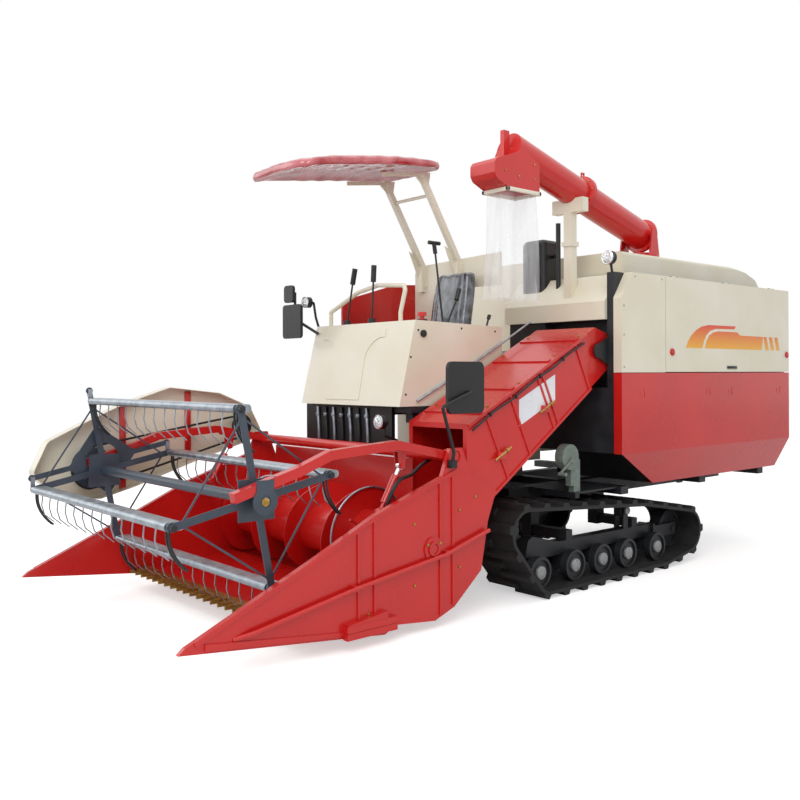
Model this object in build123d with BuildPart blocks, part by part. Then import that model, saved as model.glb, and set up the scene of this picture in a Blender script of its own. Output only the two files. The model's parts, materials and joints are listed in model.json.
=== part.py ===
from build123d import *
from math import cos, hypot, pi, radians, sin
import os

os.makedirs("parts", exist_ok=True)

# Tracked rice combine. Millimetres, +Z up, front of the machine towards -Y,
# its left side towards +X, ground at z = 0.

# running gear
TRACK_X_LEFT = 764.0
TRACK_X_RIGHT = -387.0
TRACK_WIDTH = 400.0
LUG_HEIGHT = 25.0
BELT_THICKNESS = 20.0
LUG_COUNT = 25
LUG_BASE = 62.0
LUG_TIP = 40.0
LUG_LENGTH = 235.0
SPROCKET_Y, SPROCKET_Z, SPROCKET_R = -413.0, 408.0, 165.0
IDLER_Y, IDLER_Z, IDLER_R = 1270.0, 225.0, 175.0
ROLLER_R = 140.0
ROLLER_YS = (-220.0, 108.0, 386.0, 659.0, 995.0)
CARRIER_Y, CARRIER_Z, CARRIER_R = 751.0, 401.0, 90.0
WHEEL_GAP = 1.0
DISC_WIDTH = 50.0
DISC_OFFSET = 100.0
AXLE_R = 20.0
BEAM_HALF = 40.0
BEAM_Z0, BEAM_Z1 = 200.0, 280.0
BEAM_Y0, BEAM_Y1 = -150.0, 1060.0
CROSS_YS = (150.0, 850.0)
CROSS_TUBE = 60.0

# chassis
RAIL_LEFT_X = 485.0
RAIL_RIGHT_X = -100.0
RAIL_WIDTH = 80.0
DECK_Z = 590.0
RAIL_HEIGHT = 110.0
RAIL_Y0, RAIL_Y1 = -100.0, 2440.0
OUTRIGGER_YS = (560.0, 1500.0, 2340.0)
OUTRIGGER_X = 930.0
OUTRIGGER_RIGHT_X = -600.0
OUTRIGGER_DEPTH = 50.0

# body
BODY_LEFT = 1070.0
BODY_RIGHT = -620.0
BODY_FRONT = 335.0
BODY_REAR = 2530.0
BODY_TOP = 1955.0
PANEL_DEPTH = 60.0
SPLIT_Z = 1325.0
CREASE_Z = 818.0
SKIRT_X = 950.0
DOOR_SEAM_Y = 821.0
LOWER_FRONT_Y = 850.0
PANEL_GAP = 3.0
WALL = 12.0
SHEET = 4.0
HINGE_YS = (1000.0, 1677.0, 2350.0)
HINGE_RISE = 7.0
TANK_LEFT = 830.0
TANK_TOP = BODY_TOP + 180.0
TANK_FRONT = 690.0
TANK_SPLIT_X = 140.0
HOOD_Y = 320.0
HOOD_X0, HOOD_X1 = 116.0, 955.0
CHUTE_Y = 2600.0

# header and feeder
FEEDER_X0, FEEDER_X1 = 470.0, 940.0
PIVOT_Y, PIVOT_Z = 250.0, 1460.0
HEADER_LEFT = 970.0
HEADER_RIGHT = -960.0
SIDE_THICK = 24.0
HEADER_COVER_X = -1070.0
AUGER_Y, AUGER_Z = -1170.0, 420.0
AUGER_R = 262.0
AUGER_TUBE_R = 150.0
TROUGH_GAP = 18.0
TROUGH_THICK = 5.0
BACK_TOP = 830.0
MOUTH_TOP = 1050.0
CUT_Y = -1850.0
GUARD_PITCH = 76.2
GUARD_LENGTH = 95.0

# reel
ARM_PIVOT_Y, ARM_PIVOT_Z = -1000.0, 883.0
ARM_LEFT_X, ARM_RIGHT_X = 915.0, -903.0
REEL_Y, REEL_Z = -2160.0, 755.0
REEL_RADIUS = 420.0
REEL_ANGLE = 11.0
REEL_X0, REEL_X1 = -835.0, 868.0
BAT_CORE_R = 14.0
BAT_WIDTH = 96.0
BAT_THICK = 34.0
BAT_SHIFT = 22.0
TINE_WIRE = 5.0
TINE_DROP = 182.0
TINE_TRAIL = 60.0
TINE_PITCH = 118.0
SPIDER_TIP = 18.0
SPIDER_THICK = 6.0
CRANK = 60.0
ARM_TUBE = 46.0
PIN_GAP = 1.0
REEL_SHAFT_R = 26.0

# header lift cylinder
LIFT_X = 500.0
LIFT_LOW = (-60.0, 400.0)
LIFT_HIGH = (-500.0, 690.0)
LIFT_EYE = 12.0
LIFT_PIN = 13.0
CYL_LOW = (-1440.0, 625.0)
CYL_HIGH = (-1306.0, 850.0)
CYL_OFFSET = 46.0
PIVOT_PIN_R = 20.0

# operator station
STATION_X0, STATION_X1 = -560.0, 430.0
FLOOR_Z = 1130.0
CONSOLE_TOP = 1640.0

# unloading auger
UNLOADER_X = 640.0
UNLOADER_PIVOT_Y = 1160.0
UNLOADER_PIVOT_Z = TANK_TOP + 175.0
UNLOADER_SLOPE = 16.0
UNLOADER_R = 100.0
UNLOADER_LENGTH = 1430.0


def block(x0, x1, y0, y1, z0, z1, mode=Mode.ADD):
    with Locations(((x0 + x1) / 2, (y0 + y1) / 2, (z0 + z1) / 2)):
        Box(abs(x1 - x0), abs(y1 - y0), abs(z1 - z0), mode=mode)


def slab(points, x0, x1, mode=Mode.ADD):
    with BuildSketch(Plane.YZ.offset(x0)) as face:
        with BuildLine():
            Polyline(*points, close=True)
        make_face()
    extrude(face.sketch, amount=x1 - x0, mode=mode)


def slab_y(points, y0, y1, mode=Mode.ADD):
    with BuildSketch(Plane.XZ.offset(-y1)) as face:
        with BuildLine():
            Polyline(*points, close=True)
        make_face()
    extrude(face.sketch, amount=y1 - y0, mode=mode)


def slab_z(points, z0, z1, mode=Mode.ADD):
    with BuildSketch(Plane.XY.offset(z0)) as face:
        with BuildLine():
            Polyline(*points, close=True)
        make_face()
    extrude(face.sketch, amount=z1 - z0, mode=mode)


def rod(p, q, r, mode=Mode.ADD):
    a, b = Vector(*p), Vector(*q)
    with BuildSketch(Plane(origin=a, z_dir=b - a)) as face:
        Circle(r)
    extrude(face.sketch, amount=(b - a).length, mode=mode)


def rod_x(y, z, x0, x1, r, mode=Mode.ADD):
    rod((x0, y, z), (x1, y, z), r, mode)


def pipe(points, r, bend):
    with BuildLine() as path:
        FilletPolyline(*points, radius=bend)
    with BuildSketch(Plane(origin=path.line @ 0, z_dir=path.line % 0)) as face:
        Circle(r)
    sweep(face.sketch, path=path.line)


def strip(points, t):
    # polygon of a folded sheet: the points and their copies set off by t to the left
    out = []
    n = len(points)
    for i, (y, z) in enumerate(points):
        dirs = []
        if i > 0:
            dirs.append((y - points[i - 1][0], z - points[i - 1][1]))
        if i < n - 1:
            dirs.append((points[i + 1][0] - y, points[i + 1][1] - z))
        normals = [(-b / hypot(a, b), a / hypot(a, b)) for a, b in dirs]
        sy = sum(v[0] for v in normals)
        sz = sum(v[1] for v in normals)
        k = t * len(normals) / (sy * sy + sz * sz)
        if len(normals) == 2:
            k = 2 * t / (sy * sy + sz * sz)
        out.append((y + sy * k, z + sz * k))
    return list(points) + out[::-1]


def fork(x, eye, inner, thick, pin_r, profile, through=True):
    # two cheek plates of the profile, with a pin through the eye point or its two heads alone
    for side in (-1, 1):
        a, b = x + side * inner, x + side * (inner + thick)
        slab(profile, min(a, b), max(a, b))
        c = b + side * 5
        rod_x(eye[0], eye[1], min(b, c), max(b, c), pin_r + 2)
    if through:
        rod_x(eye[0], eye[1], x - inner - thick, x + inner + thick, pin_r)


def along_line(p, q, s):
    d = hypot(q[0] - p[0], q[1] - p[1])
    return (p[0] + (q[0] - p[0]) * s / d, p[1] + (q[1] - p[1]) * s / d)


def save(piece, name):
    piece.part.label = name
    export_step(piece.part, "parts/" + name + ".step")


def hull(points):
    pts = sorted(set((round(a, 4), round(b, 4)) for a, b in points))

    def half(seq):
        out = []
        for p in seq:
            while len(out) > 1 and (
                (out[-1][0] - out[-2][0]) * (p[1] - out[-2][1])
                - (out[-1][1] - out[-2][1]) * (p[0] - out[-2][0])
            ) <= 1e-6:
                out.pop()
            out.append(p)
        return out

    return half(pts)[:-1] + half(pts[::-1])[:-1]


def track_outline(inset):
    circles = [
        (SPROCKET_Y, SPROCKET_Z, SPROCKET_R),
        (ROLLER_YS[0], ROLLER_R, ROLLER_R),
        (ROLLER_YS[-1], ROLLER_R, ROLLER_R),
        (IDLER_Y, IDLER_Z, IDLER_R),
        (CARRIER_Y, CARRIER_Z, CARRIER_R),
    ]
    pts = []
    for y, z, r in circles:
        for k in range(30):
            a = 2 * pi * (k + 0.5) / 30
            pts.append((y + (r - inset) * cos(a), z + (r - inset) * sin(a)))
    return hull(pts)


def along(points, s):
    total = 0.0
    n = len(points)
    for i in range(n):
        a, b = points[i], points[(i + 1) % n]
        d = hypot(b[0] - a[0], b[1] - a[1])
        if total + d >= s:
            t = (s - total) / d
            return (
                (a[0] + t * (b[0] - a[0]), a[1] + t * (b[1] - a[1])),
                ((b[0] - a[0]) / d, (b[1] - a[1]) / d),
            )
        total += d
    return points[0], (1.0, 0.0)


def perimeter(points):
    n = len(points)
    return sum(
        hypot(points[(i + 1) % n][0] - points[i][0], points[(i + 1) % n][1] - points[i][1])
        for i in range(n)
    )


def lugged_outline(outer, phase):
    # belt outline with a tapered lug standing on it at every pitch
    length = perimeter(outer)
    corners = []
    total = 0.0
    for i in range(len(outer)):
        corners.append((total, outer[i]))
        a, b = outer[i], outer[(i + 1) % len(outer)]
        total += hypot(b[0] - a[0], b[1] - a[1])
    pitch = length / LUG_COUNT
    spots = [pitch * (k + 0.5 * phase + 0.25) for k in range(LUG_COUNT)]
    out = []
    for s, p in corners:
        if not any(abs(s - c) < LUG_BASE / 2 for c in spots):
            out.append((s, p))
    for c in spots:
        (y, z), (ty, tz) = along(outer, c)
        low, _ = along(outer, c - LUG_BASE / 2)
        high, _ = along(outer, c + LUG_BASE / 2)
        ny, nz = tz, -ty
        tip = LUG_TIP / 2
        out.append((c - LUG_BASE / 2, low))
        out.append((c - tip, (y - ty * tip + ny * LUG_HEIGHT, max(0.0, z - tz * tip + nz * LUG_HEIGHT))))
        out.append((c + tip, (y + ty * tip + ny * LUG_HEIGHT, max(0.0, z + tz * tip + nz * LUG_HEIGHT))))
        out.append((c + LUG_BASE / 2, high))
    return [p for _, p in sorted(out)]


def make_track(centre):
    outer = track_outline(LUG_HEIGHT)
    inner = track_outline(LUG_HEIGHT + BELT_THICKNESS)
    x0 = centre - TRACK_WIDTH / 2
    x1 = centre + TRACK_WIDTH / 2
    with BuildPart() as track:
        slab(lugged_outline(outer, 0), x0, x0 + LUG_LENGTH)
        slab(lugged_outline(outer, 1), x1 - LUG_LENGTH, x1)
        slab(inner, x0, x1, Mode.SUBTRACT)
    return track


wheel_inset = LUG_HEIGHT + BELT_THICKNESS + WHEEL_GAP
roller_r = ROLLER_R - wheel_inset
sprocket_r = SPROCKET_R - wheel_inset
idler_r = IDLER_R - wheel_inset
carrier_r = CARRIER_R - wheel_inset


def add_rollers(centre):
    for y in ROLLER_YS:
        for side in (-1, 1):
            a = centre + side * (DISC_OFFSET - DISC_WIDTH / 2)
            b = centre + side * (DISC_OFFSET + DISC_WIDTH / 2)
            rod_x(y, ROLLER_R, min(a, b), max(a, b), roller_r)
            web, rim = centre + side * (DISC_OFFSET + DISC_WIDTH / 2 - 14), max(a, b) if side > 0 else min(a, b)
            rod_x(y, ROLLER_R, min(web, rim), max(web, rim), roller_r - 16, Mode.SUBTRACT)
        reach = DISC_OFFSET + DISC_WIDTH / 2 - 6
        rod_x(y, ROLLER_R, centre - reach, centre + reach, AXLE_R)
    rod_x(CARRIER_Y, CARRIER_Z, centre - 24, centre + 24, carrier_r)
    rod_x(CARRIER_Y, CARRIER_Z, centre - 50, centre + 50, AXLE_R / 2)


def add_track_frame(centre, inboard):
    block(centre - BEAM_HALF, centre + BEAM_HALF, BEAM_Y0, BEAM_Y1, BEAM_Z0, BEAM_Z1)
    slab(
        [
            (BEAM_Y0, BEAM_Z0),
            (ROLLER_YS[0] - 45, BEAM_Z0 + 20),
            (ROLLER_YS[0] - 20, BEAM_Z1 + 40),
            (ROLLER_YS[0] + 20, BEAM_Z1 + 60),
            (BEAM_Y0 + 200, BEAM_Z1),
        ],
        centre - BEAM_HALF,
        centre + BEAM_HALF,
    )
    for y in ROLLER_YS:
        block(centre - 34, centre + 34, y - 34, y + 34, ROLLER_R - 34, BEAM_Z0 + 5)
    outer = centre - BEAM_HALF if inboard > centre else centre + BEAM_HALF
    for y in CROSS_YS:
        block(
            min(outer, inboard),
            max(outer, inboard),
            y - CROSS_TUBE / 2,
            y + CROSS_TUBE / 2,
            BEAM_Z1,
            BEAM_Z1 + CROSS_TUBE,
        )
    for side in (-1, 1):
        a, b = centre + side * 27, centre + side * 39
        block(a, b, CARRIER_Y - 25, CARRIER_Y + 25, BEAM_Z1 - 5, CARRIER_Z + 25)
        a, b = centre + side * 48, centre + side * 62
        block(a, b, BEAM_Y1 - 20, IDLER_Y + 45, IDLER_Z - 40, IDLER_Z + 40)
    block(centre - 62, centre + 62, BEAM_Y1 - 20, BEAM_Y1, BEAM_Z0, BEAM_Z1)
    for y in ROLLER_YS:
        rod_x(y, ROLLER_R, centre - 40, centre + 40, AXLE_R + 0.5, Mode.SUBTRACT)
    rod_x(CARRIER_Y, CARRIER_Z, centre - 60, centre + 60, AXLE_R / 2 + 0.5, Mode.SUBTRACT)
    rod_x(IDLER_Y, IDLER_Z, centre - 100, centre + 100, AXLE_R + 0.5, Mode.SUBTRACT)


# tracks, rollers and the frames that carry them
for side_name, centre in (("left", TRACK_X_LEFT), ("right", TRACK_X_RIGHT)):
    track = make_track(centre)
    save(track, "track_" + side_name)

with BuildPart() as rollers:
    for centre in (TRACK_X_LEFT, TRACK_X_RIGHT):
        add_rollers(centre)
        rod_x(IDLER_Y, IDLER_Z, centre - 42, centre + 42, idler_r)
        rod_x(IDLER_Y, IDLER_Z, centre - 42, centre - 26, idler_r - 22, Mode.SUBTRACT)
        rod_x(IDLER_Y, IDLER_Z, centre + 26, centre + 42, idler_r - 22, Mode.SUBTRACT)
        rod_x(IDLER_Y, IDLER_Z, centre - 72, centre + 72, AXLE_R)
save(rollers, "rollers")

with BuildPart() as track_frames:
    add_track_frame(TRACK_X_LEFT, RAIL_LEFT_X)
    add_track_frame(TRACK_X_RIGHT, RAIL_RIGHT_X)
save(track_frames, "track_frames")

# drive sprockets with their tooth rims
with BuildPart() as sprockets:
    for centre in (TRACK_X_LEFT, TRACK_X_RIGHT):
        with BuildSketch(Plane.YZ.offset(centre - 20)) as sprocket_face:
            with Locations((SPROCKET_Y, SPROCKET_Z)):
                Circle(sprocket_r - 2)
                with PolarLocations(sprocket_r + 2, 11):
                    Circle(13, mode=Mode.SUBTRACT)
        extrude(amount=40)
        rod_x(SPROCKET_Y, SPROCKET_Z, centre - 35, centre + 35, 62)
save(sprockets, "sprockets")

# gearbox between the tracks with its two axle tubes
with BuildPart() as transmission:
    block(90, 290, SPROCKET_Y - 90, RAIL_Y0, 330, 760)
    for centre, sign in ((TRACK_X_LEFT, -1), (TRACK_X_RIGHT, 1)):
        face = centre + sign * 35
        start = 290 if sign < 0 else 90
        rod_x(SPROCKET_Y, SPROCKET_Z, min(face, start), max(face, start), 55)
        a, b = face, face + sign * 60
        rod_x(SPROCKET_Y, SPROCKET_Z, min(a, b), max(a, b), 85)
save(transmission, "transmission")

# chassis: two rails, cross members, outriggers, deck and the legs to the track frames
TOW_X, TOW_Y, TOW_Z, TOW_R = 192.0, 2395.0, 438.0, 20.0
with BuildPart() as chassis_frame:
    for x in (RAIL_LEFT_X, RAIL_RIGHT_X):
        block(x - RAIL_WIDTH / 2, x + RAIL_WIDTH / 2, RAIL_Y0, RAIL_Y1, DECK_Z - RAIL_HEIGHT, DECK_Z)
        for y in CROSS_YS:
            block(x - 40, x + 40, y - 40, y + 40, BEAM_Z1 - 10, DECK_Z - RAIL_HEIGHT + 5)
    block(RAIL_RIGHT_X, RAIL_LEFT_X, RAIL_Y0, RAIL_Y0 + 80, DECK_Z - RAIL_HEIGHT, DECK_Z)
    for y in OUTRIGGER_YS:
        block(OUTRIGGER_RIGHT_X, OUTRIGGER_X, y - 40, y + 40, DECK_Z - OUTRIGGER_DEPTH, DECK_Z)
    block(RAIL_LEFT_X, OUTRIGGER_X - 30, 90, OUTRIGGER_YS[0], DECK_Z - 12, DECK_Z)
    block(RAIL_LEFT_X, OUTRIGGER_X - 30, 90, 130, DECK_Z - 38, DECK_Z)
    for x, side in ((RAIL_LEFT_X, 1), (RAIL_RIGHT_X, -1)):
        for y in CROSS_YS:
            a, b = (x, x + 41) if side > 0 else (x - 41, x)
            block(a, b, y - CROSS_TUBE / 2, y + CROSS_TUBE / 2, BEAM_Z1, BEAM_Z1 + CROSS_TUBE, Mode.SUBTRACT)
    fork(
        LIFT_X,
        LIFT_LOW,
        LIFT_EYE + 2,
        8,
        LIFT_PIN - PIN_GAP,
        [(-98, 485), (-98, LIFT_LOW[1]), (-60, LIFT_LOW[1] - 28), (-24, LIFT_LOW[1]), (-20, 485)],
    )
    # towing lug
    slab(
        [
            (TOW_Y - 70, DECK_Z - OUTRIGGER_DEPTH + 5),
            (TOW_Y - 30, TOW_Z - 40),
            (TOW_Y + 30, TOW_Z - 40),
            (TOW_Y + 40, TOW_Z + 30),
            (TOW_Y - 16, DECK_Z - OUTRIGGER_DEPTH + 5),
        ],
        TOW_X - 12,
        TOW_X + 12,
    )
    rod_x(TOW_Y, TOW_Z, TOW_X - 20, TOW_X + 20, TOW_R, Mode.SUBTRACT)
save(chassis_frame, "chassis_frame")

# gearbox with a hand crank on its stand at the left front
with BuildPart() as crank_box:
    block(850, 890, 60, 150, DECK_Z, 790)
    rod_x(40, 810, 845, 905, 78)
    rod((912, 40, 790), (912, -72, 716), 8)
    rod((890, 40, 790), (922, 40, 790), 16)
    rod((904, -72, 716), (960, -72, 716), 11)
    block(890, 940, 96, 150, DECK_Z, DECK_Z + 10, Mode.SUBTRACT)
    block(840, 900, 89, 60, DECK_Z, DECK_Z + 40, Mode.SUBTRACT)
save(crank_box, "crank_box")

# threshing body behind the panels
hood_outer = [(HOOD_Y, 1660), (HOOD_Y, 1775), (HOOD_Y + 150, BODY_TOP), (TANK_FRONT - 10, BODY_TOP + 30)]
hood_inner = [(HOOD_Y + 40, 1660), (HOOD_Y + 40, 1745), (HOOD_Y + 170, BODY_TOP - 55), (TANK_FRONT - 10, BODY_TOP - 30)]
hood_solid = hood_outer + [(TANK_FRONT, 1500), (HOOD_Y, 1500)]
recess_x0, recess_x1 = FEEDER_X0 - 15, FEEDER_X1 + 15
body_x = BODY_LEFT - PANEL_DEPTH
hinge_x, hinge_z = body_x + 5, BODY_TOP + HINGE_RISE
with BuildPart() as thresher_body:
    slab_y(
        [
            (TANK_SPLIT_X, DECK_Z),
            (SKIRT_X - PANEL_DEPTH, DECK_Z),
            (body_x, CREASE_Z),
            (body_x, BODY_TOP),
            (TANK_SPLIT_X, BODY_TOP),
        ],
        BODY_FRONT + 10,
        BODY_REAR,
    )
    block(TANK_SPLIT_X - 10, BODY_LEFT, BODY_FRONT, LOWER_FRONT_Y, DECK_Z - 10, CREASE_Z, Mode.SUBTRACT)
    block(recess_x0, recess_x1, BODY_FRONT, 440, 1230, 1655, Mode.SUBTRACT)
    slab(
        [(HOOD_Y, 1660)] + hood_inner + [(TANK_FRONT - 10, BODY_TOP + 50), (HOOD_Y, BODY_TOP + 50)],
        HOOD_X0,
        HOOD_X1,
        Mode.SUBTRACT,
    )
    # hollow inside
    block(
        TANK_SPLIT_X + WALL,
        body_x - WALL,
        440 + WALL,
        LOWER_FRONT_Y + WALL,
        CREASE_Z + WALL,
        BODY_TOP - 75,
        Mode.SUBTRACT,
    )
    slab_y(
        [
            (TANK_SPLIT_X + WALL, DECK_Z + WALL),
            (SKIRT_X - PANEL_DEPTH - 2 * WALL, DECK_Z + WALL),
            (body_x - WALL, CREASE_Z + WALL / 2),
            (body_x - WALL, BODY_TOP - WALL),
            (TANK_SPLIT_X + WALL, BODY_TOP - WALL),
        ],
        LOWER_FRONT_Y + WALL,
        BODY_REAR - WALL,
        Mode.SUBTRACT,
    )
    # pivot stubs of the feeder house, standing into the recess from both of its walls
    rod_x(PIVOT_Y, PIVOT_Z, recess_x0 - 9, FEEDER_X0 + 12, PIVOT_PIN_R)
    rod_x(PIVOT_Y, PIVOT_Z, FEEDER_X1 - 12, recess_x1 + 9, PIVOT_PIN_R)
    for x0, x1 in ((recess_x0 - 9, recess_x0), (recess_x1, recess_x1 + 9)):
        slab([(PIVOT_Y, PIVOT_Z - 45), (352, PIVOT_Z - 90), (352, PIVOT_Z + 90), (PIVOT_Y, PIVOT_Z + 45)], x0, x1)
        rod_x(PIVOT_Y, PIVOT_Z, x0, x1, 45)
    # fixed hinge ears of the side door, with their pins
    for y in HINGE_YS:
        rod((hinge_x, y - 40, hinge_z), (hinge_x, y + 40, hinge_z), 5)
        for y0, y1 in ((y - 40, y - 22), (y + 22, y + 40)):
            rod((hinge_x, y0, hinge_z), (hinge_x, y1, hinge_z), HINGE_RISE)
            block(body_x - 30, body_x, y0, y1, BODY_TOP - 6, hinge_z)
            block(body_x, hinge_x, y0, y1, BODY_TOP, hinge_z)
save(thresher_body, "thresher_body")

# red lower side panel, folded in below its crease, with four recessed latches
LATCH_YS = (550.0, 1339.0, 1636.0, 2352.0)
LATCH_Z = 1190.0
with BuildPart() as lower_side_panel:
    slab_y(
        [
            (SKIRT_X, DECK_Z),
            (BODY_LEFT, CREASE_Z),
            (BODY_LEFT, SPLIT_Z - PANEL_GAP),
            (body_x, SPLIT_Z - PANEL_GAP),
            (body_x, CREASE_Z),
            (SKIRT_X - PANEL_DEPTH, DECK_Z),
        ],
        BODY_FRONT,
        BODY_REAR,
    )
    slab_y(
        [
            (SKIRT_X - PANEL_DEPTH - 1, DECK_Z + SHEET),
            (SKIRT_X - SHEET, DECK_Z + SHEET),
            (BODY_LEFT - SHEET, CREASE_Z),
            (BODY_LEFT - SHEET, SPLIT_Z - PANEL_GAP - SHEET),
            (body_x - 1, SPLIT_Z - PANEL_GAP - SHEET),
            (body_x - 1, CREASE_Z),
        ],
        BODY_FRONT + SHEET,
        BODY_REAR - SHEET,
        Mode.SUBTRACT,
    )
    slab(
        [
            (BODY_FRONT - 10, DECK_Z - 10),
            (LOWER_FRONT_Y, DECK_Z - 10),
            (LOWER_FRONT_Y, DECK_Z),
            (BODY_FRONT, CREASE_Z),
            (BODY_FRONT - 10, CREASE_Z),
        ],
        SKIRT_X - 200,
        BODY_LEFT + 10,
        Mode.SUBTRACT,
    )
    for y in LATCH_YS:
        block(BODY_LEFT - 2, BODY_LEFT + 1, y - 30, y + 30, LATCH_Z - 26, LATCH_Z + 26, Mode.SUBTRACT)
        block(BODY_LEFT - 3, BODY_LEFT - 0.5, y - 18, y + 18, LATCH_Z - 12, LATCH_Z + 12)
save(lower_side_panel, "lower_side_panel")

# cream front part of the side cover
cover_face = [
    (BODY_FRONT, SPLIT_Z),
    (DOOR_SEAM_Y - PANEL_GAP, SPLIT_Z),
    (DOOR_SEAM_Y - PANEL_GAP, BODY_TOP),
    (450, BODY_TOP),
    (BODY_FRONT, 1790),
]
with BuildPart() as front_side_cover:
    slab(cover_face, body_x, BODY_LEFT)
    slab(
        [
            (BODY_FRONT + SHEET, SPLIT_Z + SHEET),
            (DOOR_SEAM_Y - PANEL_GAP - SHEET, SPLIT_Z + SHEET),
            (DOOR_SEAM_Y - PANEL_GAP - SHEET, BODY_TOP - SHEET),
            (450 + SHEET, BODY_TOP - SHEET),
            (BODY_FRONT + SHEET, 1790 - SHEET / 2),
        ],
        body_x - 1,
        BODY_LEFT - SHEET,
        Mode.SUBTRACT,
    )
save(front_side_cover, "front_side_cover")

# cream side door, a flanged sheet hinged along its top edge, with its handle
HANDLE_Y = 1665.0
with BuildPart() as side_door:
    block(hinge_x, BODY_LEFT, DOOR_SEAM_Y + PANEL_GAP, BODY_REAR, SPLIT_Z + PANEL_GAP, BODY_TOP)
    block(
        body_x,
        BODY_LEFT - SHEET,
        DOOR_SEAM_Y + PANEL_GAP + SHEET,
        BODY_REAR - SHEET,
        SPLIT_Z + PANEL_GAP + SHEET,
        BODY_TOP - SHEET,
        Mode.SUBTRACT,
    )
    for y in HINGE_YS:
        rod((hinge_x, y - 20, hinge_z), (hinge_x, y + 20, hinge_z), HINGE_RISE + 1)
        block(hinge_x, hinge_x + 14, y - 20, y + 20, BODY_TOP - SHEET, hinge_z)
        for y0, y1 in ((y - 42, y - 20), (y + 20, y + 42)):
            block(hinge_x - 1, hinge_x + 12, y0, y1, BODY_TOP - SHEET - 2, BODY_TOP + 1, Mode.SUBTRACT)
            block(hinge_x + 12, hinge_x + 16, y0, y1, BODY_TOP - 20, BODY_TOP - SHEET)
        rod((hinge_x, y - 41, hinge_z), (hinge_x, y + 41, hinge_z), 6, Mode.SUBTRACT)
    block(BODY_LEFT - 3, BODY_LEFT + 1, HANDLE_Y - 75, HANDLE_Y + 75, 1343, 1372, Mode.SUBTRACT)
    block(BODY_LEFT - 3, BODY_LEFT - 0.5, HANDLE_Y - 60, HANDLE_Y + 60, 1352, 1366)
save(side_door, "side_door")

# hood over the feeder mouth
with BuildPart() as front_hood:
    slab(hood_outer + hood_inner[::-1], HOOD_X0, HOOD_X1)
save(front_hood, "front_hood")

# grain tank: the right-hand half of the body and the raised top
with BuildPart() as grain_tank:
    slab(
        [
            (TANK_FRONT, BODY_TOP),
            (TANK_FRONT, TANK_TOP),
            (2070, TANK_TOP),
            (2320, TANK_TOP - 33),
            (2470, TANK_TOP - 80),
            (2520, TANK_TOP - 130),
            (BODY_REAR, BODY_TOP),
        ],
        BODY_RIGHT,
        TANK_LEFT,
    )
    fillet(grain_tank.edges().filter_by(Axis.Y).group_by(Axis.Z)[-1], 25)
    block(BODY_RIGHT, TANK_SPLIT_X, TANK_FRONT, BODY_REAR, 760, BODY_TOP)
    slab(
        [
            (TANK_FRONT + WALL, BODY_TOP + WALL),
            (TANK_FRONT + WALL, TANK_TOP - WALL),
            (2060, TANK_TOP - WALL),
            (2310, TANK_TOP - 33 - WALL),
            (2460, TANK_TOP - 80 - WALL),
            (2505, TANK_TOP - 132),
            (BODY_REAR - WALL, BODY_TOP + WALL),
        ],
        BODY_RIGHT + WALL,
        TANK_LEFT - WALL,
        Mode.SUBTRACT,
    )
    block(
        BODY_RIGHT + WALL,
        TANK_SPLIT_X - WALL,
        TANK_FRONT + WALL,
        BODY_REAR - WALL,
        760 + WALL,
        BODY_TOP + 2 * WALL,
        Mode.SUBTRACT,
    )
    for y0, y1 in ((TANK_FRONT + 90, 1560), (1640, BODY_REAR - 90)):
        block(BODY_RIGHT - 1, BODY_RIGHT + 4, y0, y1, 860, BODY_TOP - 70, Mode.SUBTRACT)
save(grain_tank, "grain_tank")

# rear outlet
with BuildPart() as rear_chute:
    slab([(BODY_REAR, 1500), (CHUTE_Y, 1420), (CHUTE_Y, 1100), (BODY_REAR, 1040)], 240, 1000)
    slab(
        [(BODY_REAR - 1, 1480), (CHUTE_Y + 5, 1395), (CHUTE_Y + 5, 1105), (BODY_REAR - 1, 1060)],
        260,
        980,
        Mode.SUBTRACT,
    )
save(rear_chute, "rear_chute")

# engine block under its cover
with BuildPart() as engine_block:
    block(-500, 60, 60, 560, DECK_Z, 1080)
save(engine_block, "engine_block")

# cover over the engine with air slots on its outer side, and the panel behind the seat
COVER_TOP = 1480.0
with BuildPart() as engine_cover:
    block(BODY_RIGHT, TANK_SPLIT_X - 24, -40, TANK_FRONT, 700, COVER_TOP)
    block(BODY_RIGHT + 20, TANK_SPLIT_X - 44, -20, TANK_FRONT - 20, 690, COVER_TOP - 20, Mode.SUBTRACT)
    for k in range(9):
        z = 840 + 60 * k
        block(BODY_RIGHT - 1, BODY_RIGHT + 8, 60, 600, z, z + 22, Mode.SUBTRACT)
    slab_y(
        [
            (-420, COVER_TOP - 10),
            (TANK_SPLIT_X - 24, COVER_TOP - 10),
            (TANK_SPLIT_X - 24, 1900),
            (400, 1900),
            (400, 2110),
            (-380, 2085),
            (-420, 2040),
        ],
        -40,
        -20,
    )
save(engine_cover, "engine_cover")

# red guard at the operator's right
with BuildPart() as side_guard:
    slab(
        [
            (-600, FLOOR_Z),
            (-42, FLOOR_Z),
            (-42, COVER_TOP),
            (250, COVER_TOP),
            (250, 1986),
            (-123, 1962),
            (-560, 1835),
            (-600, 1790),
        ],
        STATION_X0,
        STATION_X0 + 14,
    )
save(side_guard, "side_guard")

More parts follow.
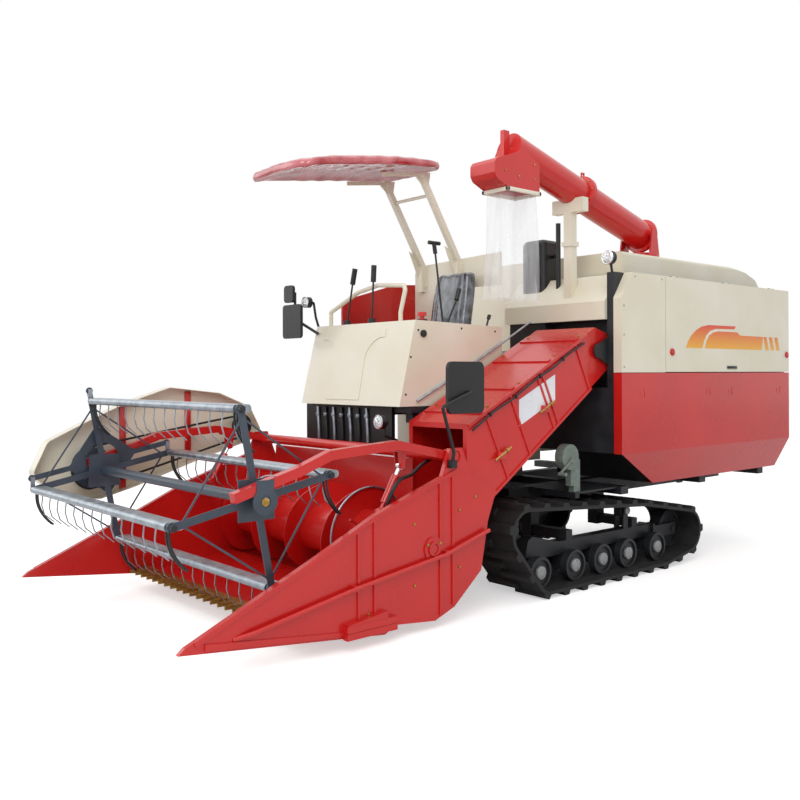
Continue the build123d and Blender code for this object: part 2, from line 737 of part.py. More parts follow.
# operator floor on its bearers
with BuildPart() as platform_floor:
    block(STATION_X0, STATION_X1, -840, -40, FLOOR_Z - 40, FLOOR_Z)
    for x in (STATION_X0 + 40, STATION_X1 - 60):
        block(x - 30, x + 30, -800, -40, FLOOR_Z - 100, FLOOR_Z - 40)
    block(RAIL_RIGHT_X - 40, RAIL_RIGHT_X + 40, RAIL_Y0, RAIL_Y0 + 60, DECK_Z, FLOOR_Z - 40)
    block(STATION_X1 - 90, STATION_X1 - 30, RAIL_Y0, RAIL_Y0 + 60, DECK_Z, FLOOR_Z - 100)
    block(STATION_X1 - 90, RAIL_LEFT_X, RAIL_Y0, RAIL_Y0 + 60, DECK_Z, DECK_Z + 40)
save(platform_floor, "platform_floor")

# front console, a moulded cream shell with a raised middle that flares out at its top
console_profile = [(-929, FLOOR_Z), (-801, CONSOLE_TOP), (-650, CONSOLE_TOP), (-680, FLOOR_Z)]
console_right, console_left = STATION_X0, STATION_X1 - 130
with BuildPart() as front_console:
    slab(console_profile, console_right, console_left)
    slab(
        [(-917, FLOOR_Z + 8), (-794, CONSOLE_TOP - 8), (-658, CONSOLE_TOP - 8), (-687, FLOOR_Z + 8)],
        console_right + 8,
        console_left - 8,
        Mode.SUBTRACT,
    )
    run, rise = 128.0, CONSOLE_TOP - FLOOR_Z
    length = hypot(run, rise)
    middle = Plane(
        origin=((console_right + console_left) / 2, -929 + run / 2, (FLOOR_Z + CONSOLE_TOP) / 2),
        x_dir=(1, 0, 0),
        z_dir=(0, -rise / length, run / length),
    )
    with BuildSketch(middle) as relief:
        with BuildLine():
            Line((-170, -230), (170, -230))
            Line((170, -230), (150, 30))
            ThreePointArc((150, 30), (190, 120), (310, 165))
            Line((310, 165), (310, 215))
            Line((310, 215), (-310, 215))
            Line((-310, 215), (-310, 165))
            ThreePointArc((-310, 165), (-190, 120), (-150, 30))
            Line((-150, 30), (-170, -230))
        make_face()
    extrude(relief.sketch, amount=5)
save(front_console, "front_console")

# side console along the operator's left
with BuildPart() as side_console:
    slab(
        [(-929, FLOOR_Z), (-801, CONSOLE_TOP), (-53, CONSOLE_TOP - 20), (-60, FLOOR_Z)],
        console_left,
        STATION_X1,
    )
    slab(
        [(-917, FLOOR_Z + 8), (-795, CONSOLE_TOP - 8), (-62, CONSOLE_TOP - 28), (-68, FLOOR_Z + 8)],
        console_left + 8,
        STATION_X1 - 8,
        Mode.SUBTRACT,
    )
save(side_console, "side_console")

# levers with their grips
console_deck = [(-801, 1560), (-801, CONSOLE_TOP), (-53, CONSOLE_TOP - 20), (-53, 1560)]
lever_lines = [
    ((-285, -760, CONSOLE_TOP), (-225, -760, 1900), (-198, -760, 2000), 17),
    ((-30, -760, CONSOLE_TOP), (-12, -760, 1900), (-5, -760, 2005), 17),
    ((330, -483, CONSOLE_TOP - 9), (330, -545, 2060), (330, -556, 2120), 13),
    ((350, -465, CONSOLE_TOP - 9), (340, -375, 1785), (335, -345, 1855), 15),
    ((345, -110, CONSOLE_TOP - 18), (345, -90, 1675), (345, -80, 1700), 12),
]
with BuildPart() as levers:
    for foot, neck, top, grip_r in lever_lines:
        rod(foot, neck, 6)
        rod(neck, top, grip_r)
    rod((330, -600, 2126), (330, -510, 2126), 12)
    rod((-285, -760, CONSOLE_TOP), (-285, -760, CONSOLE_TOP + 30), 24)
    rod((-30, -760, CONSOLE_TOP), (-30, -760, CONSOLE_TOP + 30), 24)
    slab(console_profile, console_right, console_left, Mode.SUBTRACT)
    slab(console_deck, console_left, STATION_X1, Mode.SUBTRACT)
save(levers, "levers")

# mushroom-shaped warning lamp on the side console
with BuildPart() as warning_lamp:
    rod((365, -690, CONSOLE_TOP - 20), (365, -690, CONSOLE_TOP + 12), 30)
    rod((365, -690, CONSOLE_TOP + 12), (365, -690, CONSOLE_TOP + 30), 14)
    rod((365, -690, CONSOLE_TOP + 28), (365, -690, CONSOLE_TOP + 52), 27)
    slab(console_deck, console_left, STATION_X1, Mode.SUBTRACT)
save(warning_lamp, "warning_lamp")

# black panel below the front console
with BuildPart() as hose_panel:
    block(STATION_X0 - 40, 280, -860, -842, 880, FLOOR_Z - 5)
    block(STATION_X0 - 40, 280, -842, -800, 880, 900)
    block(STATION_X0 + 20, STATION_X0 + 60, -842, -800, 880, FLOOR_Z - 40)
    block(200, 240, -842, -800, 880, FLOOR_Z - 40)
save(hose_panel, "hose_panel")

# handrail over the front console
with BuildPart() as handrail:
    pipe(
        [
            (-540, -700, CONSOLE_TOP),
            (-540, -700, 1740),
            (-240, -700, 1854),
            (-36, -700, 1885),
            (215, -700, 1865),
            (224, -700, 1835),
            (180, -700, 1700),
            (180, -700, CONSOLE_TOP),
        ],
        14,
        12,
    )
save(handrail, "handrail")

# seat
with BuildPart() as seat_base:
    block(-40, 250, -480, -160, FLOOR_Z, 1440)
    block(-70, 280, -520, -120, 1440, 1480)
save(seat_base, "seat_base")
with BuildPart() as seat_cushion:
    block(-75, 285, -540, -90, 1480, 1585)
    fillet(seat_cushion.edges().filter_by(Axis.Z) + seat_cushion.edges().group_by(Axis.Z)[-1], 30)
    with BuildPart() as seat_back:
        slab([(-265, 1560), (-160, 1560), (-95, 1985), (-185, 2000)], -65, 275)
        fillet(seat_back.edges().group_by(Axis.Z)[-1] + seat_back.edges().filter_by(Axis.X), 22)
    add(seat_back.part)
save(seat_cushion, "seat_cushion")

# canopy: a shallow crowned roof with rounded edges
CANOPY_FRONT, CANOPY_REAR = (-1420.0, 2500.0), (-270.0, 2650.0)
CANOPY_X0, CANOPY_X1 = -460.0, 160.0
with BuildPart() as canopy:
    with BuildSketch(Plane.YZ.offset(CANOPY_X0)) as canopy_face:
        with BuildLine():
            front, rear = CANOPY_FRONT, CANOPY_REAR
            Line(front, rear)
            Line(rear, (rear[0] + 15, rear[1] + 50))
            ThreePointArc((rear[0] + 15, rear[1] + 50), (-800, rear[1] + 15), (front[0] - 12, front[1] + 45))
            Line((front[0] - 12, front[1] + 45), front)
        make_face()
    extrude(canopy_face.sketch, amount=CANOPY_X1 - CANOPY_X0)
    fillet(canopy.edges().filter_by(Axis.X), 15)
save(canopy, "canopy")

# leaning posts of the canopy with their tie, gussets and top bearers
POST_XS = (-330.0, 30.0)
POST_HALF = 18.0
with BuildPart() as canopy_posts:
    for x in POST_XS:
        slab(
            [(-75, 1900), (-40, 1900), (-40, 2095), (-390, 2655), (-430, 2655), (-75, 2080)],
            x - POST_HALF,
            x + POST_HALF,
        )
        slab([(-330, 2520), (-300, 2700), (-720, 2600), (-720, 2565), (-440, 2605)], x - 4, x + 4)
        slab([(-75, 2000), (-160, 2180), (-60, 2140), (-40, 2060)], x - POST_HALF - 5, x - POST_HALF)
        block(x - 40, x + 40, -46, -40, 1930, 2060)
    rod((POST_XS[0], -310, 2498), (POST_XS[1], -310, 2498), 11)
    slab(
        [CANOPY_FRONT, CANOPY_REAR, (CANOPY_REAR[0], 2900), (CANOPY_FRONT[0], 2900)],
        CANOPY_X0,
        CANOPY_X1,
        Mode.SUBTRACT,
    )
save(canopy_posts, "canopy_posts")

# left mirror on the header
MIRROR_STEM_Y = -1046.0
with BuildPart() as mirror_left:
    block(985, 1005, -1090, -822, 1110, 1385)
    fillet(mirror_left.edges().filter_by(Axis.X), 35)
    pipe([(995, -941, 1223), (1024, -941, 1223), (1024, -1150, 1150), (1000, MIRROR_STEM_Y, 910), (988, MIRROR_STEM_Y, 840)], 9, 12)
    block(HEADER_LEFT, 1004, MIRROR_STEM_Y - 20, MIRROR_STEM_Y + 20, 828, 868)
save(mirror_left, "mirror_left")

# lamp standing on the header's back wall
with BuildPart() as header_lamp:
    rod((350, -1022, 1042), (350, -985, 1042), 40)
    rod((350, -985, 1042), (350, -965, 1042), 26)
    pipe([(350, -975, 1030), (350, -975, 960), (350, -876, 930), (350, -876, BACK_TOP)], 7, 15)
    block(335, 365, -885, -865, BACK_TOP, BACK_TOP + 30)
save(header_lamp, "header_lamp")

# two right-hand mirrors on a bent arm from the console
with BuildPart() as mirror_right:
    with BuildPart() as plates:
        block(-730, -520, -965, -945, 1560, 1785)
        block(-715, -610, -965, -945, 1800, 1915)
        fillet(plates.edges().filter_by(Axis.Y), 25)
    add(plates.part)
    rod((-640, -950, 1860), (-640, -920, 1860), 8)
    rod((-640, -950, 1650), (-640, -920, 1650), 8)
    rod((-640, -925, 1640), (-640, -925, 1870), 9)
    rod((-640, -925, 1690), (-520, -820, 1590), 9.5)
    slab(console_profile, STATION_X0, STATION_X1, Mode.SUBTRACT)
save(mirror_right, "mirror_right")

# work lamps beside the right mirror and on the hood
with BuildPart() as lamps:
    rod((-560, -900, 1800), (-560, -862, 1800), 36)
    pipe([(-560, -870, 1800), (-560, -830, 1800), (-560, -812, 1700), (-560, -790, 1640)], 8, 8)
    rod((900, 428, 2062), (900, 468, 2062), 44)
    rod((900, 468, 2062), (900, 486, 2062), 28)
    rod((900, 462, 2040), (900, 490, 1900), 8)
    slab(hood_solid, HOOD_X0, HOOD_X1, Mode.SUBTRACT)
    slab(console_profile, STATION_X0, STATION_X1, Mode.SUBTRACT)
save(lamps, "lamps")


# unloading auger: stand, pivot ears and lifting tube
def on_tube(s, h=0.0):
    c, d = cos(radians(UNLOADER_SLOPE)), sin(radians(UNLOADER_SLOPE))
    return (
        UNLOADER_X,
        UNLOADER_PIVOT_Y - s * c + h * d,
        UNLOADER_PIVOT_Z + s * d + h * c,
    )


EAR_IN, EAR_OUT, EAR_PIN = 118.0, 130.0, 14.0
rest_y = 380.0
rest = on_tube((UNLOADER_PIVOT_Y - rest_y) / cos(radians(UNLOADER_SLOPE)))
saddle_z = rest[2] - UNLOADER_R - 60
with BuildPart() as unloader_elbow:
    rod((UNLOADER_X, UNLOADER_PIVOT_Y, TANK_TOP), (UNLOADER_X, UNLOADER_PIVOT_Y, TANK_TOP + 20), 140)
    rod((UNLOADER_X, UNLOADER_PIVOT_Y, TANK_TOP + 20), (UNLOADER_X, UNLOADER_PIVOT_Y, TANK_TOP + 36), 105)
    for side in (-1, 1):
        a, b = UNLOADER_X + side * EAR_IN, UNLOADER_X + side * EAR_OUT
        slab(
            [
                (UNLOADER_PIVOT_Y - 60, TANK_TOP + 2),
                (UNLOADER_PIVOT_Y + 60, TANK_TOP + 2),
                (UNLOADER_PIVOT_Y + 26, UNLOADER_PIVOT_Z + 26),
                (UNLOADER_PIVOT_Y - 26, UNLOADER_PIVOT_Z + 26),
            ],
            min(a, b),
            max(a, b),
        )
        pin = UNLOADER_X + side * (EAR_IN - 12)
        rod_x(UNLOADER_PIVOT_Y, UNLOADER_PIVOT_Z, min(pin, b), max(pin, b), EAR_PIN)
save(unloader_elbow, "unloader_elbow")

# tube with flanged joints and a downward spout at its front end
with BuildPart() as unloader_tube:
    rod(on_tube(-60), on_tube(UNLOADER_LENGTH), UNLOADER_R)
    rod(on_tube(-60), on_tube(-46), UNLOADER_R + 14)
    rod(on_tube(692), on_tube(703), UNLOADER_R + 24)
    rod(on_tube(709), on_tube(720), UNLOADER_R + 24)
    rod(on_tube(700), on_tube(712), UNLOADER_R + 8)
    for side in (-1, 1):
        a, b = UNLOADER_X + side * (UNLOADER_R - 12), UNLOADER_X + side * (EAR_IN - 3)
        rod_x(UNLOADER_PIVOT_Y, UNLOADER_PIVOT_Z, min(a, b), max(a, b), 28)
        a = UNLOADER_X + side * (EAR_IN - 14)
        rod_x(UNLOADER_PIVOT_Y, UNLOADER_PIVOT_Z, min(a, b), max(a, b), EAR_PIN + PIN_GAP, Mode.SUBTRACT)
    eye = on_tube(706, UNLOADER_R + 20)
    block(UNLOADER_X - 5, UNLOADER_X + 5, eye[1] - 16, eye[1] + 16, eye[2] - 10, eye[2] + 40)
    rod_x(eye[1], eye[2] + 22, UNLOADER_X - 10, UNLOADER_X + 10, 10, Mode.SUBTRACT)
    tip = on_tube(UNLOADER_LENGTH)
    spout_low = tip[2] - 264
    slab(
        [
            (tip[1] + 170, tip[2] - 90),
            (tip[1] + 170, spout_low),
            (tip[1] - 120, spout_low),
            (tip[1] - 215, spout_low + 40),
            (tip[1] - 235, spout_low + 70),
            (tip[1] - 235, spout_low + 130),
            (tip[1] - 215, spout_low + 155),
            (tip[1] - 20, tip[2] - 40),
            (tip[1], tip[2]),
        ],
        UNLOADER_X - 100,
        UNLOADER_X + 100,
    )
    block(UNLOADER_X - 15, UNLOADER_X + 15, tip[1] - 60, tip[1] - 10, tip[2] - 60, tip[2] + 102)
    block(UNLOADER_X - 88, UNLOADER_X + 88, tip[1] - 110, tip[1] + 158, spout_low - 1, spout_low + 120, Mode.SUBTRACT)
save(unloader_tube, "unloader_tube")

# post and saddle under the lowered tube
with BuildPart() as unloader_rest:
    block(UNLOADER_X - 30, UNLOADER_X + 30, rest_y - 30, rest_y + 30, 1750, saddle_z + 5)
    block(UNLOADER_X - 40, UNLOADER_X + 40, rest_y - 40, rest_y + 40, saddle_z - 220, saddle_z - 190)
    block(UNLOADER_X - 125, UNLOADER_X + 125, rest_y - 30, rest_y + 30, saddle_z, saddle_z + 90)
    rod(on_tube(400), on_tube(1100), UNLOADER_R + 1, Mode.SUBTRACT)
    slab(hood_solid, HOOD_X0, HOOD_X1, Mode.SUBTRACT)
save(unloader_rest, "unloader_rest")

# air cleaner housing and pipe on the hood
with BuildPart() as air_cleaner:
    block(190, 400, 400, 590, 1750, 2240)
    fillet(air_cleaner.edges().filter_by(Axis.Z) + air_cleaner.edges().group_by(Axis.Z)[-1], 45)
    rod((500, 430, 1750), (500, 430, 2330), 16)
    rod((395, 500, 2120), (500, 430, 2120), 12)
    slab(hood_solid, HOOD_X0, HOOD_X1, Mode.SUBTRACT)
save(air_cleaner, "air_cleaner")

# feeder house from the header back to the thresher
FEEDER_FRONT_Y = AUGER_Y + AUGER_R + TROUGH_GAP + TROUGH_THICK
FEEDER_TOP_REAR = (239.0, 1606.0)
FEEDER_LOW_REAR = (348.0, 1320.0)
TOP_SLOPE = 0.4991
LOW_SLOPE = 0.6594
RIB = 8.0


def feeder_top(y):
    return FEEDER_TOP_REAR[1] + TOP_SLOPE * (y - FEEDER_TOP_REAR[0])


def feeder_low(y):
    return FEEDER_LOW_REAR[1] + LOW_SLOPE * (y - FEEDER_LOW_REAR[0])


def feeder_rib(y, width):
    # outline of a rib that runs square to the top edge, from it down to the lower edge
    c = 1 / hypot(1, TOP_SLOPE)
    s = TOP_SLOPE * c
    out = []
    for start in (y, y + width):
        top = feeder_top(start)
        drop = (top - feeder_low(start)) / (c + LOW_SLOPE * s)
        out.append(((start, top), (start + drop * s, top - drop * c)))
    return [out[0][0], out[0][1], out[1][1], out[1][0]]


def arc_points(centre, r, angles):
    return [(centre[0] + r * cos(radians(a)), centre[1] + r * sin(radians(a))) for a in angles]


with BuildPart() as feeder_house:
    slab(
        [(FEEDER_FRONT_Y, 529), (-700, feeder_low(-700))]
        + arc_points((PIVOT_Y, PIVOT_Z), 165, (-40, -20, 0, 20, 40))
        + [FEEDER_TOP_REAR, (FEEDER_FRONT_Y, feeder_top(FEEDER_FRONT_Y))],
        FEEDER_X0,
        FEEDER_X1,
    )
    slab(
        [
            (FEEDER_FRONT_Y - 10, 541),
            (-700, feeder_low(-700) + 12),
            (330, feeder_low(330) + 12),
            (330, 1592),
            (239, 1592),
            (FEEDER_FRONT_Y - 10, feeder_top(FEEDER_FRONT_Y) - 12),
        ],
        FEEDER_X0 + SHEET,
        FEEDER_X1 - SHEET,
        Mode.SUBTRACT,
    )
    rod_x(PIVOT_Y, PIVOT_Z, FEEDER_X0 - 10, FEEDER_X1 + 10, PIVOT_PIN_R + PIN_GAP, Mode.SUBTRACT)
    for x0, x1 in ((FEEDER_X1, FEEDER_X1 + RIB), (FEEDER_X0 - RIB, FEEDER_X0)):
        slab(strip([(FEEDER_FRONT_Y, feeder_top(FEEDER_FRONT_Y)), (150, feeder_top(150))], -16), x0, x1)
        slab(strip([(-700, feeder_low(-700)), (200, feeder_low(200))], 16), x0, x1)
        for y in (-760, -560, -330, -290, 30):
            slab(feeder_rib(y, 12), x0, x1)
    for y in (-780, -520, -200, 60):
        slab(strip([(y, feeder_top(y)), (y + 26, feeder_top(y + 26))], 8), FEEDER_X0 + 10, FEEDER_X1 - 10)
    fork(
        LIFT_X,
        LIFT_HIGH,
        LIFT_EYE + 2,
        8,
        LIFT_PIN - PIN_GAP,
        [(-560, 730), (-530, 665), (-470, 665), (-430, 810)],
        through=False,
    )
save(feeder_house, "feeder_house")

# header trough: floor, curved pan under the auger, back wall, rear beams and skids
pan_r = AUGER_R + TROUGH_GAP
pan = [(CUT_Y, 112.0), (-1480.0, 112.0)] + arc_points((AUGER_Y, AUGER_Z), pan_r, range(-110, 1, 11))
pan.append((AUGER_Y + pan_r, MOUTH_TOP))
inner_right, inner_left = HEADER_RIGHT + SIDE_THICK, HEADER_LEFT - SIDE_THICK
with BuildPart() as header_trough:
    slab(strip(pan, -TROUGH_THICK), inner_right, inner_left)
    wall = AUGER_Y + pan_r
    block(HEADER_RIGHT, FEEDER_X0, wall - 20, wall + 20, BACK_TOP, MOUTH_TOP + 10, Mode.SUBTRACT)
    block(FEEDER_X1, HEADER_LEFT, wall - 20, wall + 20, BACK_TOP, MOUTH_TOP + 10, Mode.SUBTRACT)
    block(FEEDER_X0 + 30, FEEDER_X1 - 30, wall - 50, wall + 50, 580, 1020, Mode.SUBTRACT)
    rear = wall + TROUGH_THICK
    block(inner_right, FEEDER_X0 - 15, wall + 1, rear + 36, BACK_TOP - 45, BACK_TOP)
    block(inner_right, FEEDER_X0 - 15, wall + 1, rear + 46, 440, 500)
    for x in (-640, -160, 300):
        block(x - 12, x + 12, wall + 1, rear + 20, 500, BACK_TOP - 45)
    for x in (-700, 0, 700):
        slab([(-1800, 107.5), (-1760, 62), (-1560, 62), (-1500, 107.5)], x - 45, x + 45)
save(header_trough, "header_trough")

# side plates with their pointed noses
side_outline = [
    (-2600, 164),
    (-1494, 40),
    (-1420, 74),
    (-1156, 46),
    (-1016, 96),
    (-814, 259),
    (-760, 520),
    (-693, 679),
    (-995, 823),
    (-1555, 634),
    (-1924, 467),
    (-2568, 190),
]
top_edge = [(-2530, 207), (-1924, 467), (-1555, 634), (-1000, 821)]
NOSE_Y = -1960.0
NOSE_IN = 42.0


def make_divider(x0, x1, outward):
    out, inn = (x1, x0) if outward > 0 else (x0, x1)
    with BuildPart() as divider:
        slab(side_outline, x0, x1)
        # hollow-looking nose that widens inwards from its point
        with BuildSketch(Plane.XZ.offset(-NOSE_Y)) as wide:
            with BuildLine():
                Polyline((inn, 96), (inn - outward * NOSE_IN, 100), (inn, 440), close=True)
            make_face()
        with BuildSketch(Plane.XZ.offset(2560)) as narrow:
            with BuildLine():
                Polyline((inn, 164), (inn - outward * 4, 165), (inn, 188), close=True)
            make_face()
        loft([wide.sketch.face(), narrow.sketch.face()])
        a, b = out, out + outward * RIB
        lo, hi = min(a, b), max(a, b)
        slab(strip(top_edge, -24), lo, hi)
        slab([(-2480, 190), (-1700, 95), (-1700, 75), (-2480, 160)], lo, hi)
        for y, z0, z1 in ((-1660, 90, 566), (-1560, 80, 610), (-1120, 70, 760), (-1030, 110, 790)):
            block(lo, hi, y - 8, y + 8, z0, z1)
        rod_x(AUGER_Y, AUGER_Z, lo, hi, 62)
        c, d = out, out + outward * 16
        rod_x(AUGER_Y, AUGER_Z, min(c, d), max(c, d), 38)
        rod_x(AUGER_Y, AUGER_Z, x0 - 20, x1 + 20, 26, Mode.SUBTRACT)
        if outward > 0:
            # double square tubes at the foot, a sloping guard over them and the crop guide rod
            for z0 in (64, 98):
                block(x1, x1 + 36, -1752, -1442, z0, z0 + 32)
                block(x1 + 4, x1 + 32, -1500, -1440, z0 + 4, z0 + 28, Mode.SUBTRACT)
            slab([(-1740, 129), (-1500, 129), (-1500, 165), (-1740, 135)], x1, x1 + 34)
            for y, z in ((-1690, 300), (-1090, 388)):
                block(x1, x1 + 30, y - 12, y + 12, z - 14, z + 14)
            guide = [(x1 - 4, -2342, 181), (x1 + 22, -2250, 198), (x1 + 24, -1690, 300), (x1 + 24, -1100, 383), (x1 + 24, -776, 472)]
            for p, q in zip(guide, guide[1:]):
                rod(p, q, 11)
            for p in guide[1:4]:
                with Locations(p):
                    Sphere(11.5)
    return divider


save(make_divider(inner_left, HEADER_LEFT, 1), "divider_left")
save(make_divider(HEADER_RIGHT, inner_right, -1), "divider_right")

# cutter bar with its guards
with BuildPart() as cutter_bar:
    block(inner_right, inner_left, CUT_Y - 45, CUT_Y, 105, 130)
    count = int((inner_left - inner_right - 60) // GUARD_PITCH)
    middle_x = (inner_left + inner_right) / 2
    for k in range(count + 1):
        x = middle_x + (k - count / 2) * GUARD_PITCH
        front = CUT_Y - 40 - GUARD_LENGTH
        slab_z([(x - 14, CUT_Y - 40), (x - 4, front), (x + 4, front), (x + 14, CUT_Y - 40)], 108, 128)
save(cutter_bar, "cutter_bar")

# header auger: tube, helical flight, end ring and feeding fingers
FLIGHT_X0, FLIGHT_X1 = -905.0, 440.0
FLIGHT_TURNS = 3.75
FLIGHT_ROOT = 140.0
FINGER_R = 7.0
FINGER_TIP = 236.0
with BuildPart() as header_auger:
    inside = 8
    rod_x(AUGER_Y, AUGER_Z, inner_right + inside, inner_left - inside, AUGER_TUBE_R)
    rod_x(AUGER_Y, AUGER_Z, HEADER_RIGHT - 3, HEADER_LEFT + 10, 25)
    with BuildSketch(Plane.YZ.offset(FLIGHT_X0)) as blade:
        with Locations((AUGER_Y + (FLIGHT_ROOT + AUGER_R) / 2, AUGER_Z)):
            Rectangle(AUGER_R - FLIGHT_ROOT, 30)
    flight = Solid.extrude_linear_with_rotation(
        blade.sketch.face(),
        (FLIGHT_X0, AUGER_Y, AUGER_Z),
        (FLIGHT_X1 - FLIGHT_X0, 0, 0),
        -360 * FLIGHT_TURNS,
    )
    add(flight)
    rod_x(AUGER_Y, AUGER_Z, FLIGHT_X1 - 3, FLIGHT_X1 + 5, AUGER_R + 4)
    for k in range(12):
        x = FLIGHT_X1 + 60 + 36 * k
        a = radians(150 * k)
        rod(
            (x, AUGER_Y + FLIGHT_ROOT * cos(a), AUGER_Z + FLIGHT_ROOT * sin(a)),
            (x, AUGER_Y + FINGER_TIP * cos(a), AUGER_Z + FINGER_TIP * sin(a)),
            FINGER_R,
        )
save(header_auger, "header_auger")

# reel arms on their cross tube, with the brackets that carry the drive cover
reel_pins = arc_points((REEL_Y, REEL_Z), REEL_RADIUS, [REEL_ANGLE + 90 * k for k in range(4)])
arm_line = [(-2307.0, 780.0), (-1959.0, 874.0), (-1785.0, 937.0), (-1378.0, 962.0), (ARM_PIVOT_Y, ARM_PIVOT_Z)]
arm_half = ARM_TUBE / 2
with BuildPart() as reel_arms:
    rod_x(ARM_PIVOT_Y, ARM_PIVOT_Z, HEADER_RIGHT + 6, HEADER_LEFT - 6, 30)
    for x, inward in ((ARM_LEFT_X, -1), (ARM_RIGHT_X, 1)):
        low_line = [(a, b - arm_half) for a, b in arm_line]
        slab(strip(low_line, ARM_TUBE), x - arm_half, x + arm_half)
        rod_x(ARM_PIVOT_Y, ARM_PIVOT_Z, x - arm_half, x + arm_half, 36)
        cx = x + inward * CYL_OFFSET
        a, b = x, cx + inward * 19
        slab([(CYL_HIGH[0] - 46, 925), (CYL_HIGH[0] + 40, 925), (CYL_HIGH[0] + 40, 945), (CYL_HIGH[0] - 46, 945)], min(a, b), max(a, b))
        y, z = CYL_HIGH
        fork(cx, CYL_HIGH, 13, 6, 10, [(y - 28, 930), (y - 16, z - 16), (y + 16, z - 16), (y + 30, 930)], through=False)
    for y, z in ((-1500, 952), (-1950, 868)):
        block(HEADER_COVER_X + SHEET, ARM_RIGHT_X, y - 16, y + 16, z - 16, z + 16)
save(reel_arms, "reel_arms")

# bearing brackets of the cross tube and of the reel cylinders
with BuildPart() as arm_brackets:
    for x0, x1, inward in ((inner_left, HEADER_LEFT, -1), (HEADER_RIGHT, inner_right, 1)):
        slab(
            [
                (-1110, 770),
                (-890, 770),
                (ARM_PIVOT_Y + 45, ARM_PIVOT_Z + 45),
                (ARM_PIVOT_Y - 45, ARM_PIVOT_Z + 45),
            ],
            x0,
            x1,
        )
        slab(side_outline, x0 - 20, x1 + 20, Mode.SUBTRACT)
    rod_x(ARM_PIVOT_Y, ARM_PIVOT_Z, HEADER_RIGHT - 10, HEADER_LEFT + 10, 31, Mode.SUBTRACT)
    for arm_x, face, inward in ((ARM_LEFT_X, inner_left, -1), (ARM_RIGHT_X, inner_right, 1)):
        cx = arm_x + inward * CYL_OFFSET
        y, z = CYL_LOW
        fork(cx, CYL_LOW, 13, 6, 10, [(y - 26, z - 44), (y + 26, z - 44), (y + 16, z + 16), (y - 16, z + 16)])
        a = cx + inward * 19
        block(min(a, face), max(a, face), y - 26, y + 26, z - 52, z - 30)
save(arm_brackets, "arm_brackets")

# bearing plates that hang the reel shaft below the arms
with BuildPart() as reel_bearings:
    for x, outward in ((ARM_LEFT_X, 1), (ARM_RIGHT_X, -1)):
        face = x + outward * arm_half
        a, b = face, face + outward * 5
        rod_x(REEL_Y, REEL_Z, min(a, b), max(a, b), 64)
        block(min(a, b), max(a, b), REEL_Y - 45, REEL_Y + 45, REEL_Z, REEL_Z + 95)
        a, b = face - outward * 34, face
        rod_x(REEL_Y, REEL_Z, min(a, b), max(a, b), 38)
    rod_x(REEL_Y, REEL_Z, ARM_RIGHT_X - 60, ARM_LEFT_X + 60, REEL_SHAFT_R + PIN_GAP, Mode.SUBTRACT)
save(reel_bearings, "reel_bearings")

# cream cover over the reel's belt drive, open towards the header
COVER_RIM_X = HEADER_RIGHT - 25.0
cover_curve = [
    (-2533, 735),
    (-2441, 929),
    (-2209, 1038),
    (-1976, 1140),
    (-1660, 1240),
    (-1300, 1198),
    (-1066, 1100),
    (-958, 900),
    (-1500, 745),
    (-1899, 619),
    (-2124, 562),
    (-2378, 600),
]
with BuildPart() as drive_cover:
    with BuildSketch(Plane.YZ.offset(HEADER_COVER_X)) as bean:
        with BuildLine():
            Polyline(*cover_curve, close=True)
        make_face()
        fillet(bean.vertices(), 55)
    extrude(bean.sketch, amount=COVER_RIM_X - HEADER_COVER_X)
    with BuildSketch(Plane.YZ.offset(HEADER_COVER_X + SHEET)) as hollow:
        with BuildLine():
            Polyline(*cover_curve, close=True)
        make_face()
        fillet(hollow.vertices(), 55)
        offset(amount=-SHEET, mode=Mode.REPLACE)
    extrude(hollow.sketch, amount=COVER_RIM_X - HEADER_COVER_X, mode=Mode.SUBTRACT)
save(drive_cover, "drive_cover")

# reel shaft with its spiders, tie rods and drive pulley
with BuildPart() as reel_frame:
    rod_x(REEL_Y, REEL_Z, HEADER_COVER_X + 40, ARM_LEFT_X + 26, REEL_SHAFT_R)
    rod_x(REEL_Y, REEL_Z, HEADER_COVER_X + 46, HEADER_COVER_X + 70, 125)
    for x in (REEL_X0, REEL_X1 - SPIDER_THICK):
        inner = x if x > 0 else x + SPIDER_THICK
        block(x, x + SPIDER_THICK, REEL_Y - 95, REEL_Y + 95, REEL_Z - 95, REEL_Z + 95)
        tips = arc_points((REEL_Y, REEL_Z), REEL_RADIUS - 34, [REEL_ANGLE + 90 * k for k in range(4)])
        for k in range(4):
            a = radians(REEL_ANGLE + 90 * k)
            c, s = cos(a), sin(a)
            w, r0 = SPIDER_TIP, 40
            slab(
                [
                    (REEL_Y + r0 * c + w * s, REEL_Z + r0 * s - w * c),
                    (REEL_Y + REEL_RADIUS * c + w * s, REEL_Z + REEL_RADIUS * s - w * c),
                    (REEL_Y + REEL_RADIUS * c - w * s, REEL_Z + REEL_RADIUS * s + w * c),
                    (REEL_Y + r0 * c - w * s, REEL_Z + r0 * s + w * c),
                ],
                x,
                x + SPIDER_THICK,
            )
            rod_x(*reel_pins[k], x, x + SPIDER_THICK, SPIDER_TIP)
            reach = 13 if x < 0 else -13
            rod_x(*reel_pins[k], min(inner, inner + reach), max(inner, inner + reach), BAT_CORE_R + 7)
            p, q = tips[k], tips[(k + 1) % 4]
            slab(strip([p, q], 9), x + 1, x + SPIDER_THICK - 1)
    for y, z in reel_pins:
        rod_x(y, z, REEL_X0 - 30, REEL_X1 + 30, BAT_CORE_R + PIN_GAP, Mode.SUBTRACT)
save(reel_frame, "reel_frame")

